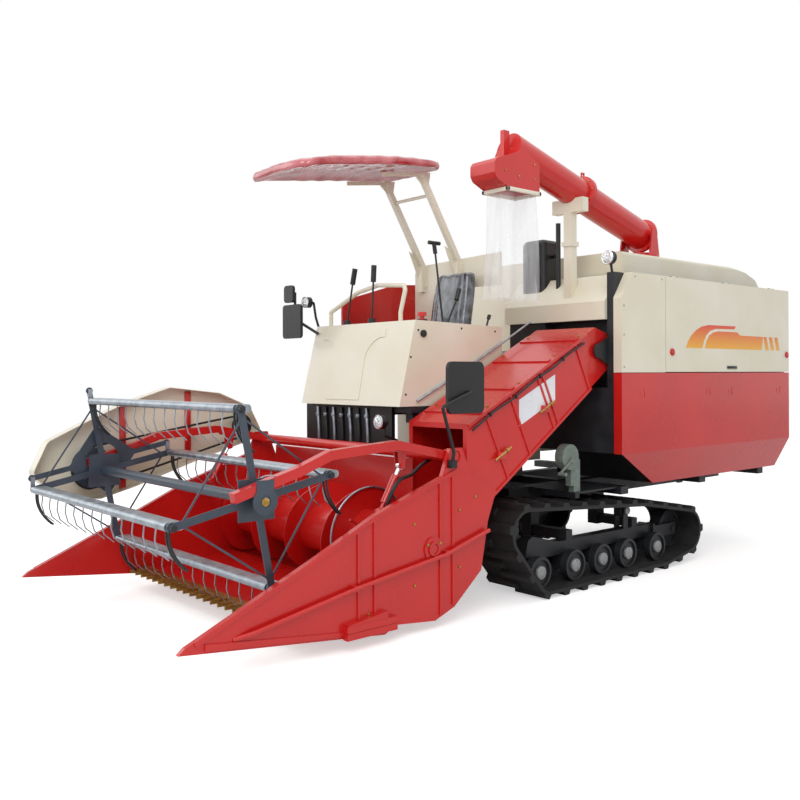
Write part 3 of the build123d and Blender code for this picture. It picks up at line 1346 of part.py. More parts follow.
# the four tine bars: core, flat-oval bat, curved wire tines and the crank at the right
BAT_INSET = 20.0
RING_X0 = REEL_X0 - 30.0
RING_THICK = 8.0
CRANK_PIN_R = 8.0
for k, (y, z) in enumerate(reel_pins):
    with BuildPart() as bar:
        rod_x(y, z, REEL_X0 - 16, ARM_LEFT_X - arm_half - 10, BAT_CORE_R)
        with BuildSketch(Plane.YZ.offset(REEL_X0 + SPIDER_THICK + BAT_INSET)) as bat:
            with Locations((y + BAT_SHIFT, z)):
                SlotOverall(BAT_WIDTH, BAT_THICK + 4)
        extrude(bat.sketch, amount=REEL_X1 - REEL_X0 - 2 * (SPIDER_THICK + BAT_INSET))
        count = int((REEL_X1 - REEL_X0 - 2 * BAT_INSET - 60) // TINE_PITCH)
        for j in range(count + 1):
            x = (REEL_X0 + REEL_X1) / 2 + (j - count / 2) * TINE_PITCH
            wire = [
                (y + BAT_SHIFT, z - 8),
                (y + BAT_SHIFT - 8, z - TINE_DROP * 0.45),
                (y + BAT_SHIFT + 8, z - TINE_DROP * 0.75),
                (y + BAT_SHIFT + TINE_TRAIL, z - TINE_DROP),
            ]
            slab(strip(wire, TINE_WIRE), x - TINE_WIRE / 2, x + TINE_WIRE / 2)
        block(REEL_X0 - 16, REEL_X0 - 8, y - 12, y + 12, z - 12, z + CRANK + 10)
        rod_x(y, z + CRANK, RING_X0 - 5, REEL_X0 - 8, CRANK_PIN_R)
    save(bar, "tine_bar_" + str(k + 1))

# eccentric spider that keeps the tines upright, around the shaft
ECCENTRIC_BORE = 100.0
ECCENTRIC_PLATE = 300.0
ECCENTRIC_ARM = 15.0
with BuildPart() as eccentric_ring:
    with BuildSketch(Plane.YZ.offset(RING_X0)) as plate_face:
        with Locations((REEL_Y, REEL_Z + CRANK)):
            Rectangle(ECCENTRIC_PLATE, ECCENTRIC_PLATE, rotation=REEL_ANGLE + 45)
    extrude(plate_face.sketch, amount=RING_THICK)
    for y, z in reel_pins:
        c, s = (y - REEL_Y) / REEL_RADIUS, (z - REEL_Z) / REEL_RADIUS
        w, near, far = ECCENTRIC_ARM, ECCENTRIC_BORE + 10, REEL_RADIUS
        slab(
            [
                (REEL_Y + near * c + w * s, REEL_Z + CRANK + near * s - w * c),
                (REEL_Y + far * c + w * s, REEL_Z + CRANK + far * s - w * c),
                (REEL_Y + far * c - w * s, REEL_Z + CRANK + far * s + w * c),
                (REEL_Y + near * c - w * s, REEL_Z + CRANK + near * s + w * c),
            ],
            RING_X0,
            RING_X0 + RING_THICK,
        )
        rod_x(y, z + CRANK, RING_X0, RING_X0 + RING_THICK, ECCENTRIC_ARM + 5)
    rod_x(REEL_Y, REEL_Z + CRANK, RING_X0 - 5, RING_X0 + RING_THICK + 5, ECCENTRIC_BORE, Mode.SUBTRACT)
    for y, z in reel_pins:
        rod_x(y, z + CRANK, RING_X0 - 10, REEL_X0, CRANK_PIN_R + PIN_GAP, Mode.SUBTRACT)
save(eccentric_ring, "eccentric_ring")

# reel cylinders, barrel and rod
for side_name, arm_x, inward in (("left", ARM_LEFT_X, -1), ("right", ARM_RIGHT_X, 1)):
    cx = arm_x + inward * CYL_OFFSET
    stem = along_line(CYL_LOW, CYL_HIGH, 60)
    with BuildPart() as barrel:
        b = along_line(CYL_LOW, CYL_HIGH, 205)
        neck = along_line(CYL_LOW, CYL_HIGH, 50)
        rod((cx, *CYL_LOW), (cx, *neck), 10)
        rod((cx, *neck), (cx, *b), 20)
        rod_x(*CYL_LOW, cx - 12, cx + 12, 20)
        rod((cx, *stem), (cx, *CYL_HIGH), 11, Mode.SUBTRACT)
        rod_x(*CYL_LOW, cx - 30, cx + 30, 11, Mode.SUBTRACT)
    save(barrel, "reel_barrel_" + side_name)
    with BuildPart() as piston:
        c = along_line(CYL_LOW, CYL_HIGH, 66)
        rod((cx, *c), (cx, *CYL_HIGH), 10)
        rod_x(*CYL_HIGH, cx - 11, cx + 11, 20)
        rod_x(*CYL_HIGH, cx - 30, cx + 30, 11, Mode.SUBTRACT)
    save(piston, "reel_rod_" + side_name)

# header lift cylinder
with BuildPart() as lift_barrel:
    end = along_line(LIFT_LOW, LIFT_HIGH, 400)
    shoulder = along_line(LIFT_LOW, LIFT_HIGH, 88)
    bore = along_line(LIFT_LOW, LIFT_HIGH, 95)
    rod((LIFT_X, *LIFT_LOW), (LIFT_X, *shoulder), LIFT_EYE - 1)
    rod((LIFT_X, *shoulder), (LIFT_X, *end), 24)
    rod_x(*LIFT_LOW, LIFT_X - LIFT_EYE, LIFT_X + LIFT_EYE, 26)
    rod((LIFT_X, *bore), (LIFT_X, *LIFT_HIGH), 12, Mode.SUBTRACT)
    rod_x(*LIFT_LOW, LIFT_X - 50, LIFT_X + 50, LIFT_PIN, Mode.SUBTRACT)
save(lift_barrel, "lift_barrel")
with BuildPart() as lift_rod:
    start = along_line(LIFT_LOW, LIFT_HIGH, 99)
    rod((LIFT_X, *start), (LIFT_X, *LIFT_HIGH), LIFT_EYE - 1)
    rod_x(*LIFT_HIGH, LIFT_X - LIFT_EYE, LIFT_X + LIFT_EYE, 26)
    rod_x(*LIFT_HIGH, LIFT_X - 50, LIFT_X + 50, LIFT_PIN, Mode.SUBTRACT)
save(lift_rod, "lift_rod")
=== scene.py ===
import json
import math

import bpy
from mathutils import Matrix, Vector


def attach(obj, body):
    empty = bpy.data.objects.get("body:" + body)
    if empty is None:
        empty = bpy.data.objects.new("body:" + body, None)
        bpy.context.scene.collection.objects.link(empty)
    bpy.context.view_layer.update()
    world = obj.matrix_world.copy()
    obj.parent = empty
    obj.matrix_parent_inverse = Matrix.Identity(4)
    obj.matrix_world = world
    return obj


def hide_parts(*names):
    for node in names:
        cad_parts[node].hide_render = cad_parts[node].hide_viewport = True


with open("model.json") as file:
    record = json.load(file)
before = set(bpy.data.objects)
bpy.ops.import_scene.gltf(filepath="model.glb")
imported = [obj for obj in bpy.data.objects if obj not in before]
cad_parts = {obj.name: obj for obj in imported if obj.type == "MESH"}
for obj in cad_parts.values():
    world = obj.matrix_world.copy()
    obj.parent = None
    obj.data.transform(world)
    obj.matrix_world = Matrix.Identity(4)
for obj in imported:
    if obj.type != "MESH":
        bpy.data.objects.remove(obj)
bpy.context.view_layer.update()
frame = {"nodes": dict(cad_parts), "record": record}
nodes = frame["nodes"]


def linear(hex_code):
    """An sRGB hex colour as linear RGBA."""
    out = []
    for i in (0, 2, 4):
        c = int(hex_code[i : i + 2], 16) / 255
        out.append(c / 12.92 if c <= 0.04045 else ((c + 0.055) / 1.055) ** 2.4)
    return (*out, 1.0)


def new_material(name, colour, metallic, roughness):
    m = bpy.data.materials.new(name)
    m.use_nodes = True
    shader = m.node_tree.nodes["Principled BSDF"]
    shader.inputs["Base Color"].default_value = linear(colour)
    shader.inputs["Metallic"].default_value = metallic
    shader.inputs["Roughness"].default_value = roughness
    return m


def add_node(m, kind, values=(), links=(), **settings):
    """A node with its socket values, its incoming links and its settings."""
    n = m.node_tree.nodes.new(kind)
    for key, value in settings.items():
        setattr(n, key, value)
    for socket, value in dict(values).items():
        n.inputs[socket].default_value = value
    for socket, source in dict(links).items():
        m.node_tree.links.new(source, n.inputs[socket])
    return n


def grain(m, size, colours, roughness, height, stretch=(1, 1, 1), detail=4.0):
    """Colour and roughness that vary over patches of `size` metres, and bumps `height` metres high."""
    shader = m.node_tree.nodes["Principled BSDF"]
    place = add_node(m, "ShaderNodeTexCoord")
    turned = add_node(m, "ShaderNodeMapping", {"Scale": stretch}, {"Vector": place.outputs["Object"]})
    noise = add_node(
        m, "ShaderNodeTexNoise", {"Scale": 1 / size, "Detail": detail}, {"Vector": turned.outputs["Vector"]}
    )
    ramp = add_node(m, "ShaderNodeValToRGB", (), {"Fac": noise.outputs["Fac"]})
    ramp.color_ramp.elements[0].position = 0.35
    ramp.color_ramp.elements[1].position = 0.65
    ramp.color_ramp.elements[0].color = linear(colours[0])
    ramp.color_ramp.elements[1].color = linear(colours[1])
    rough = add_node(
        m,
        "ShaderNodeMapRange",
        {"From Min": 0.3, "From Max": 0.7, "To Min": roughness[0], "To Max": roughness[1]},
        {"Value": noise.outputs["Fac"]},
    )
    m.node_tree.links.new(ramp.outputs["Color"], shader.inputs["Base Color"])
    m.node_tree.links.new(rough.outputs["Result"], shader.inputs["Roughness"])
    if height:
        fine = add_node(
            m, "ShaderNodeTexNoise", {"Scale": 4 / size, "Detail": 3.0}, {"Vector": turned.outputs["Vector"]}
        )
        bump = add_node(
            m, "ShaderNodeBump", {"Strength": 0.6, "Distance": height}, {"Height": fine.outputs["Fac"]}
        )
        m.node_tree.links.new(bump.outputs["Normal"], shader.inputs["Normal"])
    return m


def coated(m, weight, roughness=0.03):
    """Adds a clear gloss coat to a material."""
    shader = m.node_tree.nodes["Principled BSDF"]
    shader.inputs["Coat Weight"].default_value = weight
    shader.inputs["Coat Roughness"].default_value = roughness
    return m


# sprayed enamel on sheet steel: an even red under a clear gloss
RED = new_material("red sprayed enamel", "CE1F1A", 0.0, 0.3)
coated(grain(RED, 0.5, ("C41A17", "CE201C"), (0.24, 0.34), 0), 0.35, 0.12)
# the same enamel in cream, with a faint waviness of orange peel
CREAM = new_material("cream sprayed enamel", "E6E0CC", 0.0, 0.3)
coated(grain(CREAM, 0.4, ("E2DBC4", "EAE5D4"), (0.28, 0.4), 0.0002), 0.2)
# satin paint of frames, with a little dust in its patches
DARK = new_material("dark satin frame paint", "202226", 0.0, 0.5)
grain(DARK, 0.12, ("1B1D21", "26282C"), (0.42, 0.6), 0.0004)
# blue grey enamel of the reel, a little duller than the panels
BLUE_GREY = new_material("blue grey enamel", "3B4552", 0.0, 0.4)
grain(BLUE_GREY, 0.15, ("36404C", "424D5A"), (0.32, 0.46), 0.0003)
# injection-moulded plastic with a fine leathery grain, drawn 4 mm coarse so that it shows
BLACK = new_material("black moulded plastic", "131416", 0.0, 0.45)
grain(BLACK, 0.016, ("111214", "17181B"), (0.38, 0.5), 0.0003)
# vulcanised rubber with the grey bloom of handling
RUBBER = new_material("vulcanised track rubber", "151515", 0.0, 0.7)
grain(RUBBER, 0.05, ("111111", "1E1E1E"), (0.6, 0.8), 0.0009)
# galvanised sheet: bright metal with pale clouds
ZINC = new_material("galvanised steel", "9BA3AB", 0.85, 0.35)
grain(ZINC, 0.05, ("8C949D", "ADB4BB"), (0.28, 0.42), 0)
# cast and painted housing with sand grain
CASTING = new_material("painted grey casting", "737F78", 0.1, 0.55)
grain(CASTING, 0.02, ("6B7770", "7C8881"), (0.5, 0.65), 0.0008)
# hard chrome on a ground rod
CHROME = new_material("hard chromed rod", "D9DBDD", 1.0, 0.1)
grain(CHROME, 0.02, ("D4D6D8", "DEE0E2"), (0.08, 0.14), 0)
# yellow passivated fasteners and knife guards
BRASS = new_material("yellow passivated steel", "B08D48", 1.0, 0.38)
grain(BRASS, 0.02, ("A07C3C", "C2A05C"), (0.3, 0.46), 0.0002)
# glossy vinyl of the seat under creased protective film, with pale grey streaks of painted highlight on the
# film
SEAT_VINYL_AND_PAINTED_HIGHLIGHT = new_material("seat vinyl under creased film", "33363D", 0.0, 0.2)
# the second colour is a painted highlight: light grey streaks where the film catches the light
coated(grain(SEAT_VINYL_AND_PAINTED_HIGHLIGHT, 0.05, ("23262C", "6E747E"), (0.1, 0.28), 0.003, (1.0, 0.8, 0.7), 5.0), 0.8)
# painted roof under a creased film, with pale pink streaks of painted highlight on the film
ROOF_AND_PAINTED_HIGHLIGHT = new_material("red roof under creased film with painted highlight streaks", "B5333A", 0.0, 0.2)
# the pale pink colour is a painted highlight: streaks where the film catches the light
coated(grain(ROOF_AND_PAINTED_HIGHLIGHT, 0.22, ("A8232C", "CE7378"), (0.1, 0.26), 0.003, (0.7, 1.6, 1.6), 5.0), 0.7)
# cast iron hub caps, bare and matt
GREY = new_material("grey cast hub", "9A9C9C", 0.4, 0.5)
grain(GREY, 0.01, ("8C8E8E", "A8AAAA"), (0.42, 0.58), 0.0004)
# stove-enamelled sheet, smooth and even
PLATE = new_material("blank white enamelled plate", "E8EAEE", 0.0, 0.3)
grain(PLATE, 0.2, ("E2E4EA", "EEF0F4"), (0.24, 0.34), 0)
# moulded plastic reflector with small glinting cells
REFLECTOR = new_material("red moulded reflector", "B01010", 0.0, 0.15)
grain(REFLECTOR, 0.004, ("A00C0C", "E02018"), (0.1, 0.2), 0.0006)
# silvered glass, almost free of blur
MIRROR = new_material("silvered mirror", "DDE2E6", 1.0, 0.03)
grain(MIRROR, 0.3, ("D8DDE1", "E2E7EB"), (0.02, 0.04), 0)

# clear soft film: mostly see-through, bright along its folds
FILM = new_material("clear soft film", "F2F5F7", 0.0, 0.08)
film = FILM.node_tree.nodes["Principled BSDF"]
film.inputs["IOR"].default_value = 1.5
film_place = add_node(FILM, "ShaderNodeTexCoord")
film_map = add_node(
    FILM, "ShaderNodeMapping", {"Scale": (1.0, 1.0, 0.25)}, {"Vector": film_place.outputs["Object"]}
)
film_noise = add_node(
    FILM, "ShaderNodeTexNoise", {"Scale": 9.0, "Detail": 3.0}, {"Vector": film_map.outputs["Vector"]}
)
film_alpha = add_node(
    FILM,
    "ShaderNodeMapRange",
    {"From Min": 0.4, "From Max": 0.8, "To Min": 0.14, "To Max": 0.42},
    {"Value": film_noise.outputs["Fac"]},
)
FILM.node_tree.links.new(film_alpha.outputs["Result"], film.inputs["Alpha"])
film_bump = add_node(
    FILM, "ShaderNodeBump", {"Strength": 0.5, "Distance": 0.004}, {"Height": film_noise.outputs["Fac"]}
)
FILM.node_tree.links.new(film_bump.outputs["Normal"], film.inputs["Normal"])

# polycarbonate lamp lens over its reflector, with faceted cells about 14 mm wide
LENS = new_material("fluted lamp lens", "E8ECEF", 0.0, 0.05)
lens = LENS.node_tree.nodes["Principled BSDF"]
lens.inputs["Metallic"].default_value = 0.6
lens_place = add_node(LENS, "ShaderNodeTexCoord")
lens_cells = add_node(LENS, "ShaderNodeTexVoronoi", {"Scale": 70.0}, {"Vector": lens_place.outputs["Object"]})
lens_bump = add_node(
    LENS, "ShaderNodeBump", {"Strength": 0.8, "Distance": 0.004}, {"Height": lens_cells.outputs["Distance"]}
)
LENS.node_tree.links.new(lens_bump.outputs["Normal"], lens.inputs["Normal"])

# printed film that runs from yellow at the bottom of the stripes to red at their top
STRIPE = new_material("printed stripe film", "F09A2A", 0.0, 0.3)
stripe_place = add_node(STRIPE, "ShaderNodeTexCoord")
stripe_parts = add_node(STRIPE, "ShaderNodeSeparateXYZ", (), {"Vector": stripe_place.outputs["Object"]})
stripe_height = add_node(
    STRIPE, "ShaderNodeMapRange", {"From Min": 1.48, "From Max": 1.65}, {"Value": stripe_parts.outputs["Z"]}
)
stripe_ramp = add_node(STRIPE, "ShaderNodeValToRGB", (), {"Fac": stripe_height.outputs["Result"]})
stripe_ramp.color_ramp.elements[0].color = linear("F3B532")
stripe_ramp.color_ramp.elements[1].color = linear("E2452C")
STRIPE.node_tree.links.new(
    stripe_ramp.outputs["Color"], STRIPE.node_tree.nodes["Principled BSDF"].inputs["Base Color"]
)

by_slot = {
    "red_paint": RED,
    "cream_paint": CREAM,
    "dark_frame": DARK,
    "blue_grey_paint": BLUE_GREY,
    "black_plastic": BLACK,
    "track_rubber": RUBBER,
    "zinc_steel": ZINC,
    "grey_casting": CASTING,
    "chrome_rod": CHROME,
    "seat_vinyl": SEAT_VINYL_AND_PAINTED_HIGHLIGHT,
    "guard_brass": BRASS,
}
for entry in frame["record"]["subparts"]:
    obj = nodes[entry["node"]]
    obj.data.materials.clear()
    obj.data.materials.append(by_slot.get(entry["material_slot"], DARK))


def only(obj):
    """Selects this object alone."""
    bpy.ops.object.select_all(action="DESELECT")
    obj.select_set(True)
    bpy.context.view_layer.objects.active = obj


def settle(obj, name, material, body, smooth=35):
    """Applies the object's place, gives it its name and material, and lets it ride on a body."""
    only(obj)
    bpy.ops.object.transform_apply(location=True, rotation=True, scale=True)
    obj.name = name
    obj.data.materials.clear()
    obj.data.materials.append(material)
    bpy.ops.object.shade_smooth_by_angle(angle=math.radians(smooth))
    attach(obj, body)
    return obj


def bevelled(obj, width, segments=2):
    """Rounds the sharp edges."""
    only(obj)
    bpy.ops.object.modifier_add(type="BEVEL")
    obj.modifiers[-1].width = width
    obj.modifiers[-1].segments = segments
    obj.modifiers[-1].limit_method = "ANGLE"
    bpy.ops.object.modifier_apply(modifier=obj.modifiers[-1].name)


def remeshed(obj, voxel):
    """Replaces the mesh by an even closed grid, so that its points can be moved."""
    only(obj)
    bpy.ops.object.modifier_add(type="REMESH")
    obj.modifiers[-1].mode = "VOXEL"
    obj.modifiers[-1].voxel_size = voxel
    bpy.ops.object.modifier_apply(modifier=obj.modifiers[-1].name)


def block(name, low, high, material, body, bevel=0.003):
    """A box between two corners with rounded edges."""
    low, high = Vector(low), Vector(high)
    bpy.ops.mesh.primitive_cube_add(size=1, location=(low + high) / 2)
    obj = bpy.context.object
    obj.scale = high - low
    bpy.ops.object.transform_apply(location=False, rotation=False, scale=True)
    bevelled(obj, bevel)
    return settle(obj, name, material, body)


def disc(name, centre, direction, radius, depth, material, body, sides=40, bevel=0.002):
    """A round or many-sided boss with a rounded rim."""
    bpy.ops.mesh.primitive_cylinder_add(vertices=sides, radius=radius, depth=depth, location=centre)
    obj = bpy.context.object
    obj.rotation_euler = Vector(direction).to_track_quat("Z", "Y").to_euler()
    bevelled(obj, bevel)
    return settle(obj, name, material, body)


def tube(name, points, radius, material, body, order=4):
    """A bent rod, hose or cable along smooth points."""
    line = bpy.data.curves.new(name, "CURVE")
    line.dimensions = "3D"
    line.bevel_depth = radius
    line.bevel_resolution = 3
    line.use_fill_caps = True
    line.resolution_u = 6
    spline = line.splines.new("NURBS")
    spline.points.add(len(points) - 1)
    for p, co in zip(spline.points, points):
        p.co = (*co, 1.0)
    spline.order_u = min(order, len(points))
    spline.use_endpoint_u = True
    obj = bpy.data.objects.new(name, line)
    bpy.context.collection.objects.link(obj)
    only(obj)
    bpy.ops.object.convert(target="MESH")
    return settle(bpy.context.object, name, material, body)


def flat(name, outline, x, material, body, depth=0.0008):
    """A thin flat piece on a side face, from its outline in Y and Z."""
    line = bpy.data.curves.new(name, "CURVE")
    line.dimensions = "2D"
    line.fill_mode = "BOTH"
    line.extrude = depth / 2
    line.resolution_u = 8
    spline = line.splines.new("BEZIER")
    spline.bezier_points.add(len(outline) - 1)
    for p, (y, z) in zip(spline.bezier_points, outline):
        p.co = (y, z, 0)
        p.handle_left_type = p.handle_right_type = "VECTOR"
    spline.use_cyclic_u = True
    obj = bpy.data.objects.new(name, line)
    bpy.context.collection.objects.link(obj)
    obj.matrix_world = Matrix(((0, 0, 1, x), (1, 0, 0, 0), (0, 1, 0, 0), (0, 0, 0, 1)))
    only(obj)
    bpy.ops.object.convert(target="MESH")
    return settle(bpy.context.object, name, material, body)


def bolts(name, places, direction, radius, material, body):
    """Hexagon heads with a washer, modelled once, copied and joined."""
    turn = Vector(direction).to_track_quat("Z", "Y").to_euler()
    bpy.ops.mesh.primitive_cylinder_add(vertices=6, radius=radius, depth=radius * 0.8)
    head = bpy.context.object
    bevelled(head, radius * 0.12, 1)
    bpy.ops.mesh.primitive_cylinder_add(
        vertices=20, radius=radius * 1.35, depth=radius * 0.25, location=(0, 0, -radius * 0.45)
    )
    head.select_set(True)
    bpy.context.view_layer.objects.active = head
    bpy.ops.object.join()
    made = []
    for place in places:
        copy = head.copy()
        copy.data = head.data.copy()
        bpy.context.collection.objects.link(copy)
        copy.location = place
        copy.rotation_euler = turn
        made.append(copy)
    bpy.data.objects.remove(head)
    bpy.ops.object.select_all(action="DESELECT")
    for copy in made:
        copy.select_set(True)
    bpy.context.view_layer.objects.active = made[0]
    bpy.ops.object.join()
    return settle(bpy.context.object, name, material, body)


# planes of the left side panel, of what is printed on it, and of the left header side
SIDE = 1.070
STRIPE_X = SIDE + 0.0006
HEADER_SIDE = 0.970
LEFT = (1, 0, 0)

# side door: two printed stripes, three slanted bars, reflectors and the handle
flat(
    "stripe_upper",
    [
        (1.06, 1.490), (1.09, 1.535), (1.13, 1.575), (1.19, 1.612), (1.26, 1.638), (1.35, 1.652), (1.72, 1.654),
        (1.70, 1.632), (1.44, 1.628), (1.37, 1.612), (1.32, 1.580), (1.29, 1.540), (1.27, 1.490),
    ],
    STRIPE_X,
    STRIPE,
    "side_door",
)
flat(
    "stripe_lower",
    [
        (1.30, 1.490), (1.32, 1.540), (1.36, 1.580), (1.41, 1.602), (1.48, 1.612), (1.74, 1.612), (1.78, 1.590),
        (2.12, 1.588), (2.10, 1.490),
    ],
    STRIPE_X,
    STRIPE,
    "side_door",
)
for k in range(3):
    y = 2.14 + 0.085 * k
    corners = [(y + 0.02, 1.490), (y - 0.015, 1.588), (y + 0.035, 1.588), (y + 0.07, 1.490)]
    flat("bar_%d" % k, corners, STRIPE_X, STRIPE, "side_door")
for k, y in enumerate((0.894, 2.49)):
    disc("reflector_%d" % k, (SIDE + 0.004, y, 1.459), LEFT, 0.024, 0.012, REFLECTOR, "side_door", 36, 0.004)
block("door_handle", (SIDE - 0.002, 1.60, 1.350), (SIDE + 0.006, 1.73, 1.368), BLACK, "side_door", 0.004)
cover_screws = [(SIDE + 0.001, y, 1.93) for y in (0.48, 0.78)]
cover_screws += [(SIDE + 0.001, 0.36, z) for z in (1.36, 1.56, 1.74)]
bolts("cover_screws", cover_screws, LEFT, 0.006, ZINC, "machine")

# feeder house: white plate, clipped cable, adjusters and screws
PLATE_X = 0.9412
# in the plane's own order: lower front, lower rear, upper front, upper rear
PLATE_CORNERS = ((-0.47, 1.02), (-0.15, 1.165), (-0.47, 1.17), (-0.15, 1.315))
bpy.ops.mesh.primitive_plane_add(size=1, location=(0, 0, 0))
plate = bpy.context.object
for vertex, (y, z) in zip(plate.data.vertices, PLATE_CORNERS):
    vertex.co = (PLATE_X, y, z)
only(plate)
bpy.ops.object.modifier_add(type="SOLIDIFY")
plate.modifiers[-1].thickness = 0.0012
plate.modifiers[-1].offset = 0
bpy.ops.object.modifier_apply(modifier=plate.modifiers[-1].name)
settle(plate, "blank_plate", PLATE, "header")

# a point of the feeder house's top edge, and the edge's slope
EDGE_Y, EDGE_Z, EDGE_SLOPE = 0.239, 1.606, 0.4991


def feeder_line(y, drop=0.0):
    """Height of a line that lies `drop` metres below the feeder house's top edge."""
    return EDGE_Z + EDGE_SLOPE * (y - EDGE_Y) - drop


cable = []
for k in range(15):
    y = -0.86 + 0.07 * k
    cable.append((0.953 + 0.004 * math.sin(2.1 * k), y, feeder_line(y, 0.036 + 0.006 * math.cos(1.3 * k))))
tube("feeder_cable", cable, 0.006, BLACK, "header")
for k in (2, 5, 8, 11):
    x, y, z = cable[k]
    low, high = (0.946, y - 0.006, z - 0.012), (0.963, y + 0.006, z + 0.012)
    block("cable_clip_%d" % k, low, high, BLACK, "header", 0.002)
ROD_X = 0.962
for k, (y, drop) in enumerate(((-0.63, 0.30), (-0.25, 0.24))):
    z = feeder_line(y, drop)
    rod = [(ROD_X, y - 0.06, z - 0.03), (ROD_X, y, z), (ROD_X, y + 0.07, z + 0.035)]
    tube("adjuster_rod_%d" % k, rod, 0.006, BRASS, "header")
    low, high = (0.941, y - 0.03, z - 0.028), (ROD_X, y + 0.03, z + 0.012)
    block("adjuster_block_%d" % k, low, high, RED, "header", 0.003)
    nut = (ROD_X, y + 0.04, z + 0.02)
    disc("adjuster_nut_%d" % k, nut, (0, 0.89, 0.45), 0.012, 0.014, BRASS, "header", 6, 0.001)
bolts(
    "feeder_screws",
    [(x, y, feeder_line(y) + 0.004) for y in (-0.70, -0.44, -0.12, 0.12) for x in (0.50, 0.91)],
    (0, -0.4466, 0.8948),
    0.008,
    BRASS,
    "header",
)
steel_rod = [(0.44, -0.80, 1.16), (0.447, -0.5, 1.30), (0.447, -0.1, 1.50), (0.45, 0.2, 1.66)]
tube("feeder_cable_hood", steel_rod, 0.007, ZINC, "machine")

# left header side: bearing bolts, screws, the arm's black hose and a dark sheet of painted shade in the end of
# the foot tube
AXIS_Y, AXIS_Z = -1.170, 0.420
bolts(
    "bearing_bolts",
    [(HEADER_SIDE + 0.010, AXIS_Y + 0.05 * math.cos(a), AXIS_Z + 0.05 * math.sin(a)) for a in (0.5, 2.6, 4.7)],
    LEFT,
    0.009,
    BRASS,
    "header",
)
SIDE_SCREWS = ((-1.30, 0.56), (-1.30, 0.25), (-0.98, 0.60), (-0.98, 0.30), (-0.86, 0.66), (-1.60, 0.16))
bolts(
    "side_screws",
    [(HEADER_SIDE + 0.002, y, z) for y, z in SIDE_SCREWS],
    LEFT,
    0.008,
    BRASS,
    "header",
)
tube(
    "header_hose",
    [
        (0.90, -1.42, 0.66),
        (0.93, -1.40, 0.76),
        (0.90, -1.32, 0.80),
        (0.86, -1.22, 0.78),
        (0.80, -1.10, 0.84),
        (0.72, -0.95, 0.85),
    ],
    0.010,
    BLACK,
    "header",
)
# a thin dark sheet that paints the shade inside the foot tube's end
block("tube_end_painted_shade", (0.9745, -1.4435, 0.069), (1.0015, -1.4425, 0.091), DARK, "header", 0.0004)

# zinc hoop around the auger, beside the mouth of the feeder house
HOOP_X, HOOP_R = 0.452, 0.272
hoop = []
for k in range(13):
    a = math.radians(205 - 15 * k)
    hoop.append((HOOP_X, AXIS_Y + HOOP_R * math.cos(a), AXIS_Z + HOOP_R * math.sin(a)))
tube("auger_hoop", hoop, 0.006, ZINC, "header")

# black end tines in pairs, two at each end of every bar
REEL_Y, REEL_Z, REEL_R = -2.160, 0.755, 0.420
REEL_ANGLE = 11
TINE_LINE = ((0.005, 0.01), (-0.004, 0.07), (0.02, 0.14), (0.09, 0.20))
for k in range(4):
    a = math.radians(REEL_ANGLE + 90 * k)
    bar = "tine_bar_%d" % (k + 1)
    y, z = REEL_Y + REEL_R * math.cos(a), REEL_Z + REEL_R * math.sin(a)
    for j, x in enumerate((-0.80, -0.775, 0.805, 0.83)):
        tube(
            "end_tine_%d_%d" % (k + 1, j),
            [(x, y + dy, z - dz) for dy, dz in TINE_LINE],
            0.0055,
            BLACK,
            bar,
        )
    disc("bar_nut_left_%d" % (k + 1), (0.880, y, z), LEFT, 0.017, 0.008, DARK, bar, 6, 0.001)

# hub nuts of the reel bearings, and a thin wire over the left one
for k, (x, sign) in enumerate(((0.944, 1), (-0.933, -1))):
    nut = (x - sign * 0.002, REEL_Y, REEL_Z - 0.003)
    disc("reel_hub_nut_%d" % k, nut, (sign, 0, 0), 0.022, 0.006, BRASS, "reel_arms", 6, 0.002)
wire = [(0.93, -2.18, 0.86), (0.93, -2.14, 0.875), (0.93, -2.10, 0.862)]
tube("reel_grease_wire", wire, 0.003, ZINC, "reel_arms")

# drive belt inside the cover, its rear pulley and two straps
BELT_X = -1.012
PULLEY_Y, PULLEY_Z = -1.12, 0.97
belt = []
for y, z, radius, start in ((REEL_Y, REEL_Z, 0.13, 90), (PULLEY_Y, PULLEY_Z, 0.075, 270)):
    for k in range(11):
        a = math.radians(start + 18 * k)
        belt.append((BELT_X, y + radius * math.cos(a), z + radius * math.sin(a)))
belt.append(belt[0])
tube("drive_belt", belt, 0.007, RUBBER, "reel_arms", 3)
disc("rear_pulley", (BELT_X, PULLEY_Y, PULLEY_Z), LEFT, 0.070, 0.022, DARK, "reel_arms", 48, 0.004)
disc("rear_pulley_hub", (-1.0, PULLEY_Y, PULLEY_Z), LEFT, 0.028, 0.03, ZINC, "reel_arms", 24, 0.003)
block("cover_strap_front", (-1.066, -1.97, 0.60), (-1.050, -1.93, 1.12), RED, "reel_arms", 0.003)
block("cover_strap_rear", (-1.066, -1.52, 0.77), (-1.050, -1.48, 1.21), RED, "reel_arms", 0.003)

# grey hub caps on the rollers, with their screws
TRACK_CENTRES = (0.764, -0.387)
CAP_YS = (-0.220, 0.108, 0.386, 0.659, 0.995)
CAP_Z = 0.140
SCREW_ANGLES = (0.3, 1.557, 2.813, 4.07, 5.327)
SCREW_RING = 0.028
for side, centre in zip(("left", "right"), TRACK_CENTRES):
    sign = 1 if centre > 0 else -1
    outward = (sign, 0, 0)
    face = centre + sign * 0.113
    for k, y in enumerate(CAP_YS):
        cap = (face + sign * 0.008, y, CAP_Z)
        disc("hub_cap_%s_%d" % (side, k), cap, outward, 0.040, 0.022, GREY, "machine", 36, 0.006)
    screws = [
        (face + sign * 0.020, y + SCREW_RING * math.cos(a), CAP_Z + SCREW_RING * math.sin(a))
        for y in CAP_YS
        for a in SCREW_ANGLES
    ]
    bolts("hub_screws_%s" % side, screws, outward, 0.0045, ZINC, "machine")
    carrier = (centre + sign * 0.052, 0.751, 0.401)
    disc("carrier_cap_%s" % side, carrier, outward, 0.026, 0.014, GREY, "machine", 30, 0.004)

